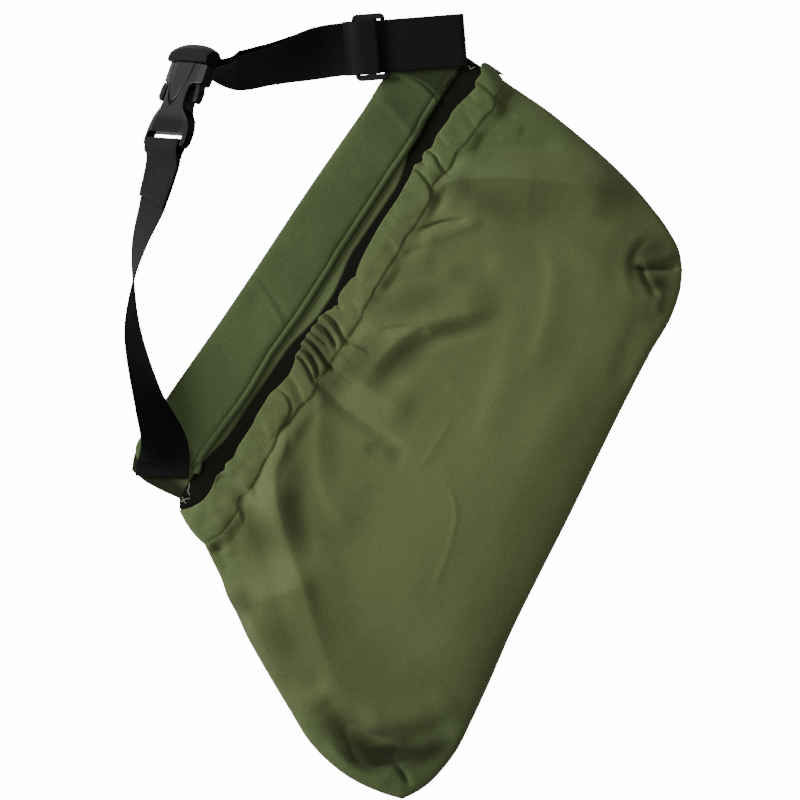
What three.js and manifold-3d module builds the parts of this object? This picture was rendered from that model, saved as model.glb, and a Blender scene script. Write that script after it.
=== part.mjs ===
// A canvas waist bag lying on its back: an empty pouch with an elasticated mouth hangs from
// a waistband tunnel, and a webbing belt runs through the tunnel to a side-release buckle.
// Millimetres. The origin is the middle of the mouth on the underside of the back panel,
// X runs along the mouth, Y from the bag's bottom towards the belt, Z up.
import * as THREE from 'three';
import { mergeVertices } from 'three/addons/utils/BufferGeometryUtils.js';
import Module from 'manifold-3d';

const wasm = await Module();
wasm.setup();

// Sheet and webbing
const CLOTH = 1.0;
const GAP = 0.3;
const WEB_WIDTH = 38;
const WEB_THICK = 1.4;
const UP = new THREE.Vector3(0, 0, 1);

// Bag
const BAND_LEFT = -189.5;
const BAND_RIGHT = 190;
const BAND_TOP = 52;
const BAND_STITCH_Y = 4.2;
const BAND_EDGE_Y = 2;
const PULL_START = -165;
const PULL_DEPTH = 9;
const HEM_TOP = -5;
const HEM_BOTTOM = -28;
const HEM_THICK = 4.6;
const ELASTIC_WIDTH = 19;
const ELASTIC_THICK = 1.2;
const MOUTH_LIFT = 9;
const POUCH_LIFT = 15;
const POUCH_ROUND = 45;
const POUCH_WIDTH = 400;
const POUCH_DEPTH = 220;

// Levels of the belt above the underside
const TUNNEL_BELT_Z = CLOTH + GAP + WEB_THICK / 2;
const BAND_INNER_Z = CLOTH + GAP + WEB_THICK + 0.4;
const BAND_OUTER_Z = BAND_INNER_Z + CLOTH;
const LEFT_FOLD_Z = BAND_OUTER_Z + GAP + WEB_THICK / 2;
const SLIDER_BAR = 1.8;
const SLIDER_FOOT_Z = BAND_OUTER_Z + 0.4;
const RIGHT_RUN_Z = SLIDER_FOOT_Z + SLIDER_BAR + GAP + WEB_THICK / 2;

// Buckle, in its own frame: x from the socket's bar to the plug, y across, z out of its face
const BUCKLE_CENTRE = new THREE.Vector3(49.9, 164.2, 27.4);
const BUCKLE_TURN = THREE.MathUtils.degToRad(15.6);
const BUCKLE_DIP = THREE.MathUtils.degToRad(10);
const BUCKLE_ROLL = THREE.MathUtils.degToRad(52);
const BUCKLE_THICK = 13;
const CROWN = 62;
const SOCKET_BAR_X = -36;
const PLUG_BAR_X = 31;
const SOCKET_LOOP = 3.6;
const PLUG_LOOP = 2.9;

const CANVAS = { color: 0x4c5a34, roughness: 0.95, metalness: 0 };
const WEBBING = { color: 0x17181a, roughness: 0.85, metalness: 0 };
const PLASTIC = { color: 0x1c1d1f, roughness: 0.45, metalness: 0 };
const THREAD = { color: 0x3f4a2c, roughness: 0.9, metalness: 0 };
const ELASTIC = { color: 0xe6e4dc, roughness: 0.9, metalness: 0 };

const bag = new THREE.Group();

function addPart(name, geometry, finish, parent = bag) {
  const mesh = new THREE.Mesh(geometry, new THREE.MeshStandardMaterial(finish));
  mesh.name = name;
  parent.add(mesh);
}

function toSolid(geometry) {
  const bare = geometry.clone();
  bare.deleteAttribute('normal');
  bare.deleteAttribute('uv');
  const merged = mergeVertices(bare, 1e-4);
  return new wasm.Manifold(new wasm.Mesh({
    numProp: 3,
    vertProperties: Float32Array.from(merged.attributes.position.array),
    triVerts: Uint32Array.from(merged.index.array),
  }));
}

function fromSolid(solid) {
  const mesh = solid.getMesh();
  const geometry = new THREE.BufferGeometry();
  geometry.setAttribute('position', new THREE.BufferAttribute(mesh.vertProperties, 3));
  geometry.setIndex(new THREE.BufferAttribute(mesh.triVerts, 1));
  return geometry;
}

// Moves every vertex of a geometry to where place(x, y, z) says.
function reshape(geometry, place) {
  const position = geometry.attributes.position;
  for (let i = 0; i < position.count; i++) {
    position.setXYZ(i, ...place(position.getX(i), position.getY(i), position.getZ(i)));
  }
  return geometry;
}

// A box between two corners.
function block(low, high) {
  const size = high.map((value, axis) => value - low[axis]);
  const geometry = new THREE.BoxGeometry(...size);
  return geometry.translate(...low.map((value, axis) => value + size[axis] / 2));
}

function shapeOf(points) {
  return new THREE.Shape(points.map(([x, y]) => new THREE.Vector2(x, y)));
}

// Extrudes a section drawn in (y, z) along x, from left to right.
function extrudeAlongX(section, left, right, steps) {
  const geometry = new THREE.ExtrudeGeometry(section, { depth: 1, steps, bevelEnabled: false });
  return reshape(geometry, (y, z, along) => [left + along * (right - left), y, z]);
}

function smooth(value) {
  const t = THREE.MathUtils.clamp(value, 0, 1);
  return t * t * (3 - 2 * t);
}

// ---- Outline of the bag, as three side curves ----

function sideCurve(points) {
  return new THREE.CatmullRomCurve3(points.map(([x, y]) => new THREE.Vector3(x, y, 0)));
}

const leftSide = sideCurve([[-204, -28], [-213, -47], [-252, -111], [-280, -165],
  [-287, -207], [-283, -235], [-277, -250]]);
const bottomSide = sideCurve([[-277, -250], [-256, -260], [-228, -262], [-172, -255],
  [-86, -240], [10, -227], [90, -217], [137, -210], [150, -203]]);
const rightSide = sideCurve([[190, -28], [187, -72], [182, -141], [170, -175],
  [160, -193], [150, -203]]);

function hemLeft(y) {
  return -190.7 + 0.475 * y;
}

const HEM_RIGHT = 190.3;

// How far the belt pulls the band's outer corner in at its left end.
function pull(x) {
  return PULL_DEPTH * Math.max(0, (PULL_START - x) / (PULL_START - BAND_LEFT)) ** 2;
}

function pulled(x, y) {
  return y - pull(x) * y / BAND_TOP;
}

// ---- Cloth ----

function backPanel() {
  const points = [];
  for (let i = 0; i <= 8; i++) {
    const x = BAND_LEFT + i * (PULL_START - BAND_LEFT) / 8;
    points.push([x, pulled(x, BAND_TOP)]);
  }
  points.push([BAND_RIGHT, BAND_TOP], [BAND_RIGHT, 0]);
  const along = (curve, count) => curve.getSpacedPoints(count).map((p) => [p.x, p.y]);
  points.push(...along(rightSide, 14));
  points.push(...along(bottomSide, 24).reverse().slice(1));
  points.push(...along(leftSide, 16).reverse().slice(1));
  points.push([BAND_LEFT, 0]);
  return new THREE.ExtrudeGeometry(shapeOf(points), { depth: CLOTH, bevelEnabled: false });
}

// Height of the pouch above the back panel at u (left to right) and v (mouth to bottom).
function pouchHeight(u, v) {
  const round = (distance) => {
    const t = 1 - THREE.MathUtils.clamp(distance / POUCH_ROUND, 0, 1);
    return Math.sqrt(1 - t * t);
  };
  const fromSide = Math.min(u, 1 - u) * POUCH_WIDTH;
  const fromBottom = (1 - v) * POUCH_DEPTH;
  const lift = MOUTH_LIFT + (POUCH_LIFT - MOUTH_LIFT) * smooth(v * POUCH_DEPTH / 60);
  return lift * round(fromSide) * round(fromBottom);
}

// Plan position on the patch spanned by the mouth and the three side curves.
function pouchPoint(u, v) {
  const left = leftSide.getPointAt(v);
  const right = rightSide.getPointAt(v);
  const bottom = bottomSide.getPointAt(u);
  const corners = [leftSide.getPointAt(0), rightSide.getPointAt(0),
    bottomSide.getPointAt(0), bottomSide.getPointAt(1)];
  const mouth = corners[0].clone().lerp(corners[1], u);
  const across = left.lerp(right, u);
  const down = mouth.clone().lerp(bottom, v);
  const cornerMix = mouth.clone().lerp(corners[2].clone().lerp(corners[3], u), v);
  return across.add(down).sub(cornerMix);
}

function frontPanel() {
  const geometry = new THREE.BoxGeometry(1, 1, 1, 30, 18, 1);
  return reshape(geometry, (x, y, z) => {
    const u = x + 0.5;
    const v = 0.5 - y;
    const point = pouchPoint(u, v);
    const base = CLOTH + GAP + pouchHeight(u, v);
    return [point.x, point.y, base + (z + 0.5) * CLOTH];
  });
}

// Places (along the mouth 0 to 1, y, height) on the hem.
function onHem(along, y, z) {
  const x = hemLeft(y) + along * (HEM_RIGHT - hemLeft(y));
  return [x, y, CLOTH + GAP + pouchHeight(along, 0) + z];
}

function frontHem() {
  const low = HEM_BOTTOM + GAP;
  const section = shapeOf([[low, 0], [HEM_TOP - 1.5, 0], [HEM_TOP, 1.5],
    [HEM_TOP, HEM_THICK - 1.5], [HEM_TOP - 1.5, HEM_THICK], [low, HEM_THICK]]);
  const hollow = shapeOf([[low + 1, 1], [low + 1, HEM_THICK - 1],
    [HEM_TOP - 1, HEM_THICK - 1], [HEM_TOP - 1, 1]]);
  section.holes.push(hollow);
  const geometry = extrudeAlongX(section, 0, 1, 36);
  return reshape(geometry, onHem);
}

function hemElastic() {
  const geometry = new THREE.BoxGeometry(1, ELASTIC_WIDTH, ELASTIC_THICK, 36, 1, 1);
  const middle = (HEM_TOP + HEM_BOTTOM + GAP) / 2;
  return reshape(geometry, (x, y, z) => onHem(x + 0.5, y + middle, z + HEM_THICK / 2));
}

function hemStitching() {
  const geometry = new THREE.BoxGeometry(1, 0.8, 0.4, 36, 1, 1);
  const height = HEM_THICK + GAP + 0.2;
  return reshape(geometry, (x, y, z) => onHem(x + 0.5, y + HEM_BOTTOM + 2.6, z + height));
}

// The band's upper layer: sewn down along the mouth, folded round the top edge.
function bandLayer() {
  const step = CLOTH + GAP;
  const fold = BAND_TOP + 0.7;
  const section = shapeOf([[BAND_EDGE_Y, step], [6.3, step], [9.5, BAND_INNER_Z],
    [fold - 3.4, BAND_INNER_Z], [fold - 1, 2.2], [fold, 0.2], [fold + 1, 0.2],
    [fold + 0.6, 2.2], [fold - 1.2, 3.6], [fold - 3.2, BAND_OUTER_Z],
    [9, BAND_OUTER_Z], [6, step + CLOTH], [BAND_EDGE_Y, step + CLOTH]]);
  const geometry = extrudeAlongX(section, BAND_LEFT, BAND_RIGHT, 60);
  return reshape(geometry, (x, y, z) => [x, pulled(x, y), z]);
}

function bandStitching() {
  const z = CLOTH * 2 + GAP * 2;
  return block([-152, BAND_STITCH_Y - 0.4, z], [152, BAND_STITCH_Y + 0.4, z + 0.4]);
}

function cornerStitch(side) {
  const z = CLOTH * 2 + GAP * 2;
  const ends = [side * 154, side * 163];
  return block([Math.min(...ends), BAND_STITCH_Y - 1, z],
    [Math.max(...ends), BAND_STITCH_Y + 1, z + 0.7]);
}

// ---- Straps: boxes bent along frames of { point, along, across, normal } ----

function frameOf(point, along, across) {
  return { point, along, across, normal: along.clone().cross(across).normalize() };
}

function strap(frames, width = WEB_WIDTH, thick = WEB_THICK) {
  const last = frames.length - 1;
  const geometry = new THREE.BoxGeometry(1, 1, 1, last, 1, 1);
  return reshape(geometry, (x, y, z) => {
    const { point, across, normal } = frames[Math.round((x + 0.5) * last)];
    const moved = point.clone().addScaledVector(across, y * width);
    return moved.addScaledVector(normal, z * thick).toArray();
  });
}

const buckleMatrix = new THREE.Matrix4().makeTranslation(BUCKLE_CENTRE)
  .multiply(new THREE.Matrix4().makeRotationZ(BUCKLE_TURN))
  .multiply(new THREE.Matrix4().makeRotationY(BUCKLE_DIP))
  .multiply(new THREE.Matrix4().makeRotationX(-BUCKLE_ROLL));
const BAR_WAY = new THREE.Vector3(0, -1, 0).transformDirection(buckleMatrix);

function onBuckle(x, y, z) {
  return new THREE.Vector3(x, y, z).applyMatrix4(buckleMatrix);
}

// Frames along stations of [x, y, z, roll in degrees, gap, hold]. A strap at roll 0 lies flat;
// hold turns its width, from 0 for the roll given to 1 for the line of the buckle's bars.
function framesAlong(stations, perSpan) {
  const route = new THREE.CatmullRomCurve3(stations.map(([x, y, z]) =>
    new THREE.Vector3(x, y, z)));
  const turns = new THREE.CatmullRomCurve3(stations.map(([, , , roll, gap = 0, hold = 0]) =>
    new THREE.Vector3(roll, gap, hold)));
  const count = (stations.length - 1) * perSpan;
  return Array.from({ length: count + 1 }, (_, i) => {
    const along = route.getTangent(i / count).normalize();
    const turn = turns.getPoint(i / count);
    const across = UP.clone().cross(along).normalize();
    across.applyAxisAngle(along, THREE.MathUtils.degToRad(turn.x));
    across.lerp(BAR_WAY, THREE.MathUtils.clamp(turn.z, 0, 1)).normalize();
    return { ...frameOf(route.getPoint(i / count), along, across), gap: turn.y };
  });
}

// Carries a strap on round a bend of the given radius, towards its normal where side is 1.
function bendOn(start, radius, side, degrees, steps = 8) {
  const centre = start.point.clone().addScaledVector(start.normal, side * radius);
  return Array.from({ length: steps }, (_, i) => {
    const angle = THREE.MathUtils.degToRad(degrees) * (i + 1) / steps;
    const point = centre.clone().addScaledVector(start.normal, -side * radius * Math.cos(angle));
    point.addScaledVector(start.along, radius * Math.sin(angle));
    const along = start.along.clone().multiplyScalar(Math.cos(angle));
    along.addScaledVector(start.normal, side * Math.sin(angle));
    return frameOf(point, along, start.across);
  });
}

function goOn(start, distance) {
  const point = start.point.clone().addScaledVector(start.along, distance);
  return frameOf(point, start.along, start.across);
}

function shifted(frame, distance) {
  const point = frame.point.clone().addScaledVector(frame.normal, distance);
  return frameOf(point, frame.along, frame.across);
}

function reversed(frames) {
  return frames.slice().reverse().map((f) =>
    frameOf(f.point, f.along.clone().negate(), f.across));
}

// ---- Left strap: from the socket's bar, on its edge, down to the tunnel's left end ----

const LEFT_SPAN = 8;
const SEWN_FRAMES = 3 * LEFT_SPAN;
const leftFrames = framesAlong([
  [...onBuckle(SOCKET_BAR_X, 0, 0).toArray(), 52, 0, 1],
  [...onBuckle(SOCKET_BAR_X - 6, 0, -1.2).toArray(), 52, 0, 0.8], [1, 147.6, 29.6, 53, 0, 0.2],
  [-24, 139.3, 23.6, 58], [-54, 130.4, 20.2, 72], [-81, 117, 19.6, 90], [-108, 99, 19.3, 106],
  [-143, 61, 21.4, 123], [-160, 38.5, 16.6, 146], [-171.5, 29.3, 9.6, 168],
  [-178.5, 26.1, LEFT_FOLD_Z, 180], [-182.2, 23.9, LEFT_FOLD_Z, 180]], LEFT_SPAN);

// Distance between the strap's middle and each of its two layers, near the socket's bar.
function layerOffset(index) {
  const nearBar = 1 - smooth(index / LEFT_SPAN - 0.6);
  return 0.95 + (SOCKET_LOOP - 0.95) * nearBar;
}

function sewnEnd() {
  const part = leftFrames.slice(0, SEWN_FRAMES + 1);
  const upper = part.map((frame, i) => shifted(frame, layerOffset(i)));
  const lower = part.map((frame, i) => shifted(frame, -layerOffset(i)));
  const inward = reversed(upper);
  const turn = bendOn(inward[inward.length - 1], SOCKET_LOOP, 1, 180, 10);
  return strap([...inward, ...turn, ...lower.slice(1)]);
}

function leftStrap() {
  const rest = leftFrames.slice(SEWN_FRAMES).map((frame, i, all) =>
    shifted(frame, -0.95 * (1 - smooth(i / (2 * LEFT_SPAN)))));
  rest[0] = goOn(rest[0], GAP);
  const last = rest[rest.length - 1];
  const radius = (LEFT_FOLD_Z - TUNNEL_BELT_Z) / 2;
  const fold = bendOn(last, radius, 1, 180);
  return strap([...rest, ...fold, goOn(fold[fold.length - 1], 3.5)]);
}

// Box stitch with a diagonal cross, on top of the sewn end.
function boxStitch() {
  const frames = leftFrames.slice(2 * LEFT_SPAN, SEWN_FRAMES + 1).map((frame, i) =>
    shifted(frame, layerOffset(2 * LEFT_SPAN + i) + WEB_THICK / 2 + GAP + 0.3));
  const inner = frames.slice(1, -1);
  const half = WEB_WIDTH / 2 - 4;
  const line = (from, to) => strap(inner.map((frame, i) => {
    const t = i / (inner.length - 1);
    const point = frame.point.clone().addScaledVector(frame.across, from + (to - from) * t);
    return frameOf(point, frame.along, frame.across);
  }), 1.2, 0.6);
  const rung = (frame) => strap([frame, goOn(frame, 1.2)], 2 * half + 1.2, 0.6);
  const pieces = [line(-half, -half), line(half, half), line(-half, half), line(half, -half),
    rung(inner[0]), rung(goOn(inner[inner.length - 1], -1.2))];
  return fromSolid(pieces.map(toSolid).reduce((all, piece) => all.add(piece)));
}

// ---- Right strap: from the tunnel's right end, through the slider, round the plug's bar ----

const RIGHT_START = new THREE.Vector3(197.3, 21.4, RIGHT_RUN_Z);
const RIGHT_WAY = new THREE.Vector3(-0.625, 0.7806, 0).normalize();
const SLIDER_AT = 65.5;
const RIGHT_SPAN = 6;

function rightRun(distance) {
  const point = RIGHT_START.clone().addScaledVector(RIGHT_WAY, distance);
  return [...point.toArray(), 180, WEB_THICK + GAP];
}

const rightFrames = framesAlong([
  rightRun(0), rightRun(40), rightRun(78), rightRun(84), [134.5, 98.6, 8.9, 168, 1.9],
  [119.8, 112.7, 13.1, 146, 2.6], [104.8, 127.6, 16.8, 132, 4.6], [90.6, 142.2, 18.6, 128, 5.4],
  [84.6, 156, 19, 112, 5.8, 0.5], [...onBuckle(PLUG_BAR_X + PLUG_LOOP, 0, -8).toArray(), 92, 5.8, 1],
  [...onBuckle(PLUG_BAR_X + PLUG_LOOP, 0, -4).toArray(), 90, 5.8, 1],
  [...onBuckle(PLUG_BAR_X + PLUG_LOOP, 0, 0).toArray(), 90, 5.8, 1]], RIGHT_SPAN);

function rightStrap() {
  const start = reversed(rightFrames)[rightFrames.length - 1];
  const radius = (RIGHT_RUN_Z - TUNNEL_BELT_Z) / 2;
  const fold = bendOn(start, radius, -1, 180);
  const leg = goOn(fold[fold.length - 1], 5);
  const turn = bendOn(rightFrames[rightFrames.length - 1], PLUG_LOOP, -1, 172, 10);
  return strap([...reversed([...fold, leg]), ...rightFrames, ...turn]);
}

// The layer that comes back from the plug's bar, above the main run, to the slider.
const RETURN_START = 3 * RIGHT_SPAN;

function returnStrap() {
  const frames = rightFrames.slice(RETURN_START).map((frame) => shifted(frame, -frame.gap));
  frames[0] = goOn(frames[0], 1);
  return strap(frames);
}

// The belt's sewn end round the slider's middle bar, in the slider's frame.
function sliderWrap(levels) {
  const across = new THREE.Vector3(0, -1, 0);
  const points = [[18.5, levels.run + 1.7], [14, levels.run + 2.3], [9.5, levels.upper - 1.9],
    [2.5, levels.upper]];
  for (let i = 0; i <= 8; i++) {
    const angle = Math.PI * i / 8;
    points.push([-2.1 - levels.radius * Math.sin(angle),
      levels.middle + levels.radius * Math.cos(angle)]);
  }
  points.push([3, levels.lower], [8.6, levels.lower]);
  const route = points.map(([x, z]) => new THREE.Vector3(x, 0, z));
  return strap(route.map((point, i) => {
    const before = route[Math.max(i - 1, 0)];
    const after = route[Math.min(i + 1, route.length - 1)];
    return frameOf(point, after.clone().sub(before).normalize(), across);
  }));
}

function beltInTunnel() {
  const outline = shapeOf([[-160, 10.2], [164, 10.2], [179.3, 14.2], [208.6, 37.6], [188, 48.2],
    [-168, 48.2], [-186.6, 41.4], [-167.0, 10.2]]);
  const geometry = new THREE.ExtrudeGeometry(outline, { depth: WEB_THICK, bevelEnabled: false });
  return geometry.translate(0, 0, TUNNEL_BELT_Z - WEB_THICK / 2);
}

// Room for a fold of the belt at a tunnel end: all that lies beyond the fold's line.
function foldRoom(frame, back) {
  const ahead = frame.along.clone().setZ(0).normalize();
  const corner = frame.point.clone().addScaledVector(ahead, -back);
  const box = new THREE.BoxGeometry(60, 120, 40).translate(30, 0, 0);
  box.rotateZ(Math.atan2(ahead.y, ahead.x));
  return toSolid(box.translate(corner.x, corner.y, 20 + CLOTH + 0.1));
}

function waistband() {
  const left = foldRoom(leftFrames[leftFrames.length - 1], 2);
  const right = foldRoom(reversed(rightFrames)[rightFrames.length - 1], 2);
  return fromSolid(toSolid(bandLayer()).subtract(left).subtract(right));
}

// ---- Slider: side bars under the strap, middle bar above it, rails at both ends ----

const SLIDER_LENGTH = 24;
const SLIDER_WIDTH = 48;
const RAIL_INSIDE = WEB_WIDTH / 2 + 0.8;

function sliderFrame(levels) {
  const round = (width, height, corner) => {
    const shape = new THREE.Shape();
    const x = width / 2;
    const y = height / 2;
    shape.moveTo(-x + corner, -y);
    shape.absarc(x - corner, -y + corner, corner, -Math.PI / 2, 0);
    shape.absarc(x - corner, y - corner, corner, 0, Math.PI / 2);
    shape.absarc(-x + corner, y - corner, corner, Math.PI / 2, Math.PI);
    shape.absarc(-x + corner, -y + corner, corner, Math.PI, 1.5 * Math.PI);
    return shape;
  };
  const depth = levels.middle + SLIDER_BAR / 2 - levels.foot;
  const outline = round(SLIDER_LENGTH, SLIDER_WIDTH, 4);
  const plate = new THREE.ExtrudeGeometry(outline, { depth, bevelEnabled: false, curveSegments: 5 });
  const inside = SLIDER_LENGTH / 2 - 3.4;
  const through = block([-inside, -RAIL_INSIDE, -1], [inside, RAIL_INSIDE, depth + 1]);
  const overStrap = block([-20, -RAIL_INSIDE, SLIDER_BAR], [20, RAIL_INSIDE, depth + 1]);
  const bar = block([-2.8, -RAIL_INSIDE - 1, depth - SLIDER_BAR], [2.8, RAIL_INSIDE + 1, depth]);
  const solid = toSolid(plate).subtract(toSolid(through)).subtract(toSolid(overStrap));
  return fromSolid(solid.add(toSolid(bar))).translate(0, 0, levels.foot);
}

function addSlider() {
  const lower = RIGHT_RUN_Z + WEB_THICK + GAP;
  const middle = lower + WEB_THICK / 2 + GAP + SLIDER_BAR / 2;
  const radius = middle - lower;
  const levels = { foot: SLIDER_FOOT_Z, run: RIGHT_RUN_Z, lower, middle, upper: middle + radius, radius };
  const slider = new THREE.Group();
  const at = RIGHT_START.clone().addScaledVector(RIGHT_WAY, SLIDER_AT);
  slider.position.set(at.x, at.y, 0);
  slider.rotation.z = Math.atan2(RIGHT_WAY.y, RIGHT_WAY.x);
  addPart('slider_frame', sliderFrame(levels), PLASTIC, slider);
  addPart('belt_slider_end', sliderWrap(levels), WEBBING, slider);
  bag.add(slider);
}

// ---- Buckle ----

function extrudeFlat(shape, thick, bevel) {
  const geometry = new THREE.ExtrudeGeometry(shape, {
    depth: thick - 2 * bevel, bevelThickness: bevel, bevelSize: bevel, bevelOffset: -bevel,
    bevelSegments: 2, curveSegments: 6,
  });
  return geometry.translate(0, 0, bevel - thick / 2);
}

function mirrored(points) {
  return [...points, ...points.slice().reverse().map(([x, y]) => [x, -y])];
}

// Half outline of the socket, from its open collar past the notch to the belt slot.
const SOCKET_HALF = [[25, 21], [24, 22], [13, 22], [10.5, 21.4], [10, 19.8], [9.6, 14], [7.5, 12.2], [2, 11.7],
  [-5, 11.7], [-10, 13.6], [-17, 20.4], [-23, 23.4], [-27, 24], [-34, 24], [-37.2, 22.8],
  [-38.5, 20]];

function socket() {
  const body = toSolid(extrudeFlat(shapeOf(mirrored(SOCKET_HALF)), BUCKLE_THICK, 1.4));
  const side = shapeOf([[26, 6.5], [6, 6.5], [-10, 5.6], [-22, 4.6], [-34, 4.2], [-39, 3.2],
    [-39, -3.2], [-34, -4.2], [-22, -4.6], [-10, -5.6], [6, -6.5], [26, -6.5]]);
  const profile = new THREE.ExtrudeGeometry(side, { depth: 60, bevelEnabled: false });
  profile.translate(0, 0, -30).rotateX(Math.PI / 2);
  const crown = new THREE.CylinderGeometry(CROWN, CROWN, 80, 96).rotateZ(Math.PI / 2);
  crown.translate(0, 0, BUCKLE_THICK / 2 - CROWN);
  const collar = block([5.5, -19.5, -3.1], [26, 19.5, 3.1]);
  const channel = block([-8, -5.5, -2.6], [6, 5.5, 2.6]);
  const slot = block([SOCKET_BAR_X + 1.9, -20.2, -9], [-28.2, 20.2, 9]);
  const barThin = block([-40, -20.2, 1.6], [SOCKET_BAR_X + 3, 20.2, 9]);
  const barThinBelow = block([-40, -20.2, -9], [SOCKET_BAR_X + 3, 20.2, -1.6]);
  const arch = new THREE.Shape();
  arch.moveTo(24.4, -13);
  arch.lineTo(24.4, 13);
  arch.bezierCurveTo(10, 13, -6, 9, -7, 0);
  arch.bezierCurveTo(-6, -9, 10, -13, 24.4, -13);
  const panel = new THREE.ExtrudeGeometry(arch, { depth: 2, bevelEnabled: false, curveSegments: 8 });
  panel.translate(0, 0, BUCKLE_THICK / 2 - 0.6);
  return fromSolid([collar, channel, slot, barThin, barThinBelow, panel].reduce(
    (solid, tool) => solid.subtract(toSolid(tool)),
    body.intersect(toSolid(profile)).intersect(toSolid(crown))));
}

// A rounded block, between an ellipsoid and a box, that domes the plug's cap.
function dome(centre, radii, power) {
  const ball = new THREE.SphereGeometry(1, 64, 40);
  return reshape(ball, (x, y, z) => {
    const size = [x, y, z].reduce((sum, part) => sum + Math.abs(part) ** power, 0) ** (-1 / power);
    return [x, y, z].map((part, i) => centre[i] + part * size * radii[i]);
  });
}

function plug() {
  const half = [[42, 17], [42, 20.6], [38, 22.6], [30, 23], [25.3, 23]];
  const plate = toSolid(extrudeFlat(shapeOf(mirrored(half)), BUCKLE_THICK, 1.6));
  const cap = plate.intersect(toSolid(dome([14, 0, -1], [26.3, 34, 10.6], 2.5)));
  const pocket = block([PLUG_BAR_X - 3.8, -20.4, -8], [PLUG_BAR_X + 3.9, 20.4, 3.8]);
  const bar = new THREE.CylinderGeometry(1.9, 1.9, 42, 12).translate(PLUG_BAR_X, 0, 0);
  const tongue = block([-5, -4.2, -1.7], [PLUG_BAR_X - 4.6, 4.2, 1.7]);
  return fromSolid(cap.subtract(toSolid(pocket)).add(toSolid(bar)).add(toSolid(tongue)));
}

function prong(side) {
  const outline = [[24.6, 14.6], [24.6, 18.6], [9.7, 18.6], [9.7, 20.8], [5, 22.6], [-1, 22.8],
    [-4, 21], [-4, 18], [7, 16.8], [12, 14.6]];
  const points = outline.map(([x, y]) => [x, side * y]);
  return extrudeFlat(shapeOf(points), 5.8, 0.5);
}

function addBuckle() {
  const buckle = new THREE.Group();
  buckle.position.copy(BUCKLE_CENTRE);
  buckle.rotation.z = BUCKLE_TURN;
  const rolled = new THREE.Group();
  rolled.rotation.set(-BUCKLE_ROLL, BUCKLE_DIP, 0, 'ZYX');
  addPart('buckle_socket', socket(), PLASTIC, rolled);
  addPart('buckle_plug', plug(), PLASTIC, rolled);
  addPart('prong_outer', prong(1), PLASTIC, rolled);
  addPart('prong_inner', prong(-1), PLASTIC, rolled);
  buckle.add(rolled);
  bag.add(buckle);
}

// ---- Darts: short ridges where the bottom corners are sewn in ----

function dart(from, to) {
  const steps = 8;
  const route = Array.from({ length: steps + 1 }, (_, i) => {
    const u = THREE.MathUtils.lerp(from[0], to[0], i / steps);
    const v = THREE.MathUtils.lerp(from[1], to[1], i / steps);
    const point = pouchPoint(u, v);
    return point.setZ(2 * CLOTH + GAP + pouchHeight(u, v) + 1.6);
  });
  return strap(route.map((point, i) => {
    const along = route[Math.min(i + 1, steps)].clone().sub(route[Math.max(i - 1, 0)]);
    const across = UP.clone().cross(along).normalize();
    return frameOf(point, along.normalize(), across);
  }), 2.4, 1.2);
}

addPart('back_panel', backPanel(), CANVAS);
addPart('front_panel', frontPanel(), CANVAS);
addPart('front_hem', frontHem(), CANVAS);
addPart('hem_elastic', hemElastic(), ELASTIC);
addPart('hem_stitching', hemStitching(), THREAD);
addPart('waistband', waistband(), CANVAS);
addPart('band_stitching', bandStitching(), THREAD);
addPart('corner_stitch_left', cornerStitch(-1), THREAD);
addPart('corner_stitch_right', cornerStitch(1), THREAD);
addPart('dart_left', dart([0.04, 0.96], [0.1, 0.86]), CANVAS);
addPart('dart_right', dart([0.96, 0.94], [0.92, 0.86]), CANVAS);
addPart('belt_tunnel_run', beltInTunnel(), WEBBING);
addPart('belt_left_strap', leftStrap(), WEBBING);
addPart('belt_socket_end', sewnEnd(), WEBBING);
addPart('socket_box_stitch', boxStitch(), THREAD);
addPart('belt_right_strap', rightStrap(), WEBBING);
addPart('belt_return_strap', returnStrap(), WEBBING);
addSlider();
addBuckle();

export default bag;
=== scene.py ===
import math

import bmesh
import bpy
import numpy as np
from mathutils import Euler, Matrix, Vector


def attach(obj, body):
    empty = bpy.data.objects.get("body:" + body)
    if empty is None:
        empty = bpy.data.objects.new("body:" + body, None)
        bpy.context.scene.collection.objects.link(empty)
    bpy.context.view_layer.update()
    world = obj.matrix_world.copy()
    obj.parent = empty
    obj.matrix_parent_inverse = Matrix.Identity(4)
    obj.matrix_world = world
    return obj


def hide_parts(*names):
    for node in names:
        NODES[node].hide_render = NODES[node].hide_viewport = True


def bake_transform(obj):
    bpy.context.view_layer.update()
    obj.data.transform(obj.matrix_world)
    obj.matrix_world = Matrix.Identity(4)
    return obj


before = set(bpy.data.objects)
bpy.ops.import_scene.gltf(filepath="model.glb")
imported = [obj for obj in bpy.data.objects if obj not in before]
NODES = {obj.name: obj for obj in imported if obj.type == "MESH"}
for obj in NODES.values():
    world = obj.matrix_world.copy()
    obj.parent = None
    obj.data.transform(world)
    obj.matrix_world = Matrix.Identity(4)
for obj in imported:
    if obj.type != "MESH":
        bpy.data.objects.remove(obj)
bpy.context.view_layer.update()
MM = 0.001

# ---- Curves and small helpers (all lengths in millimetres) ----


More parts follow.
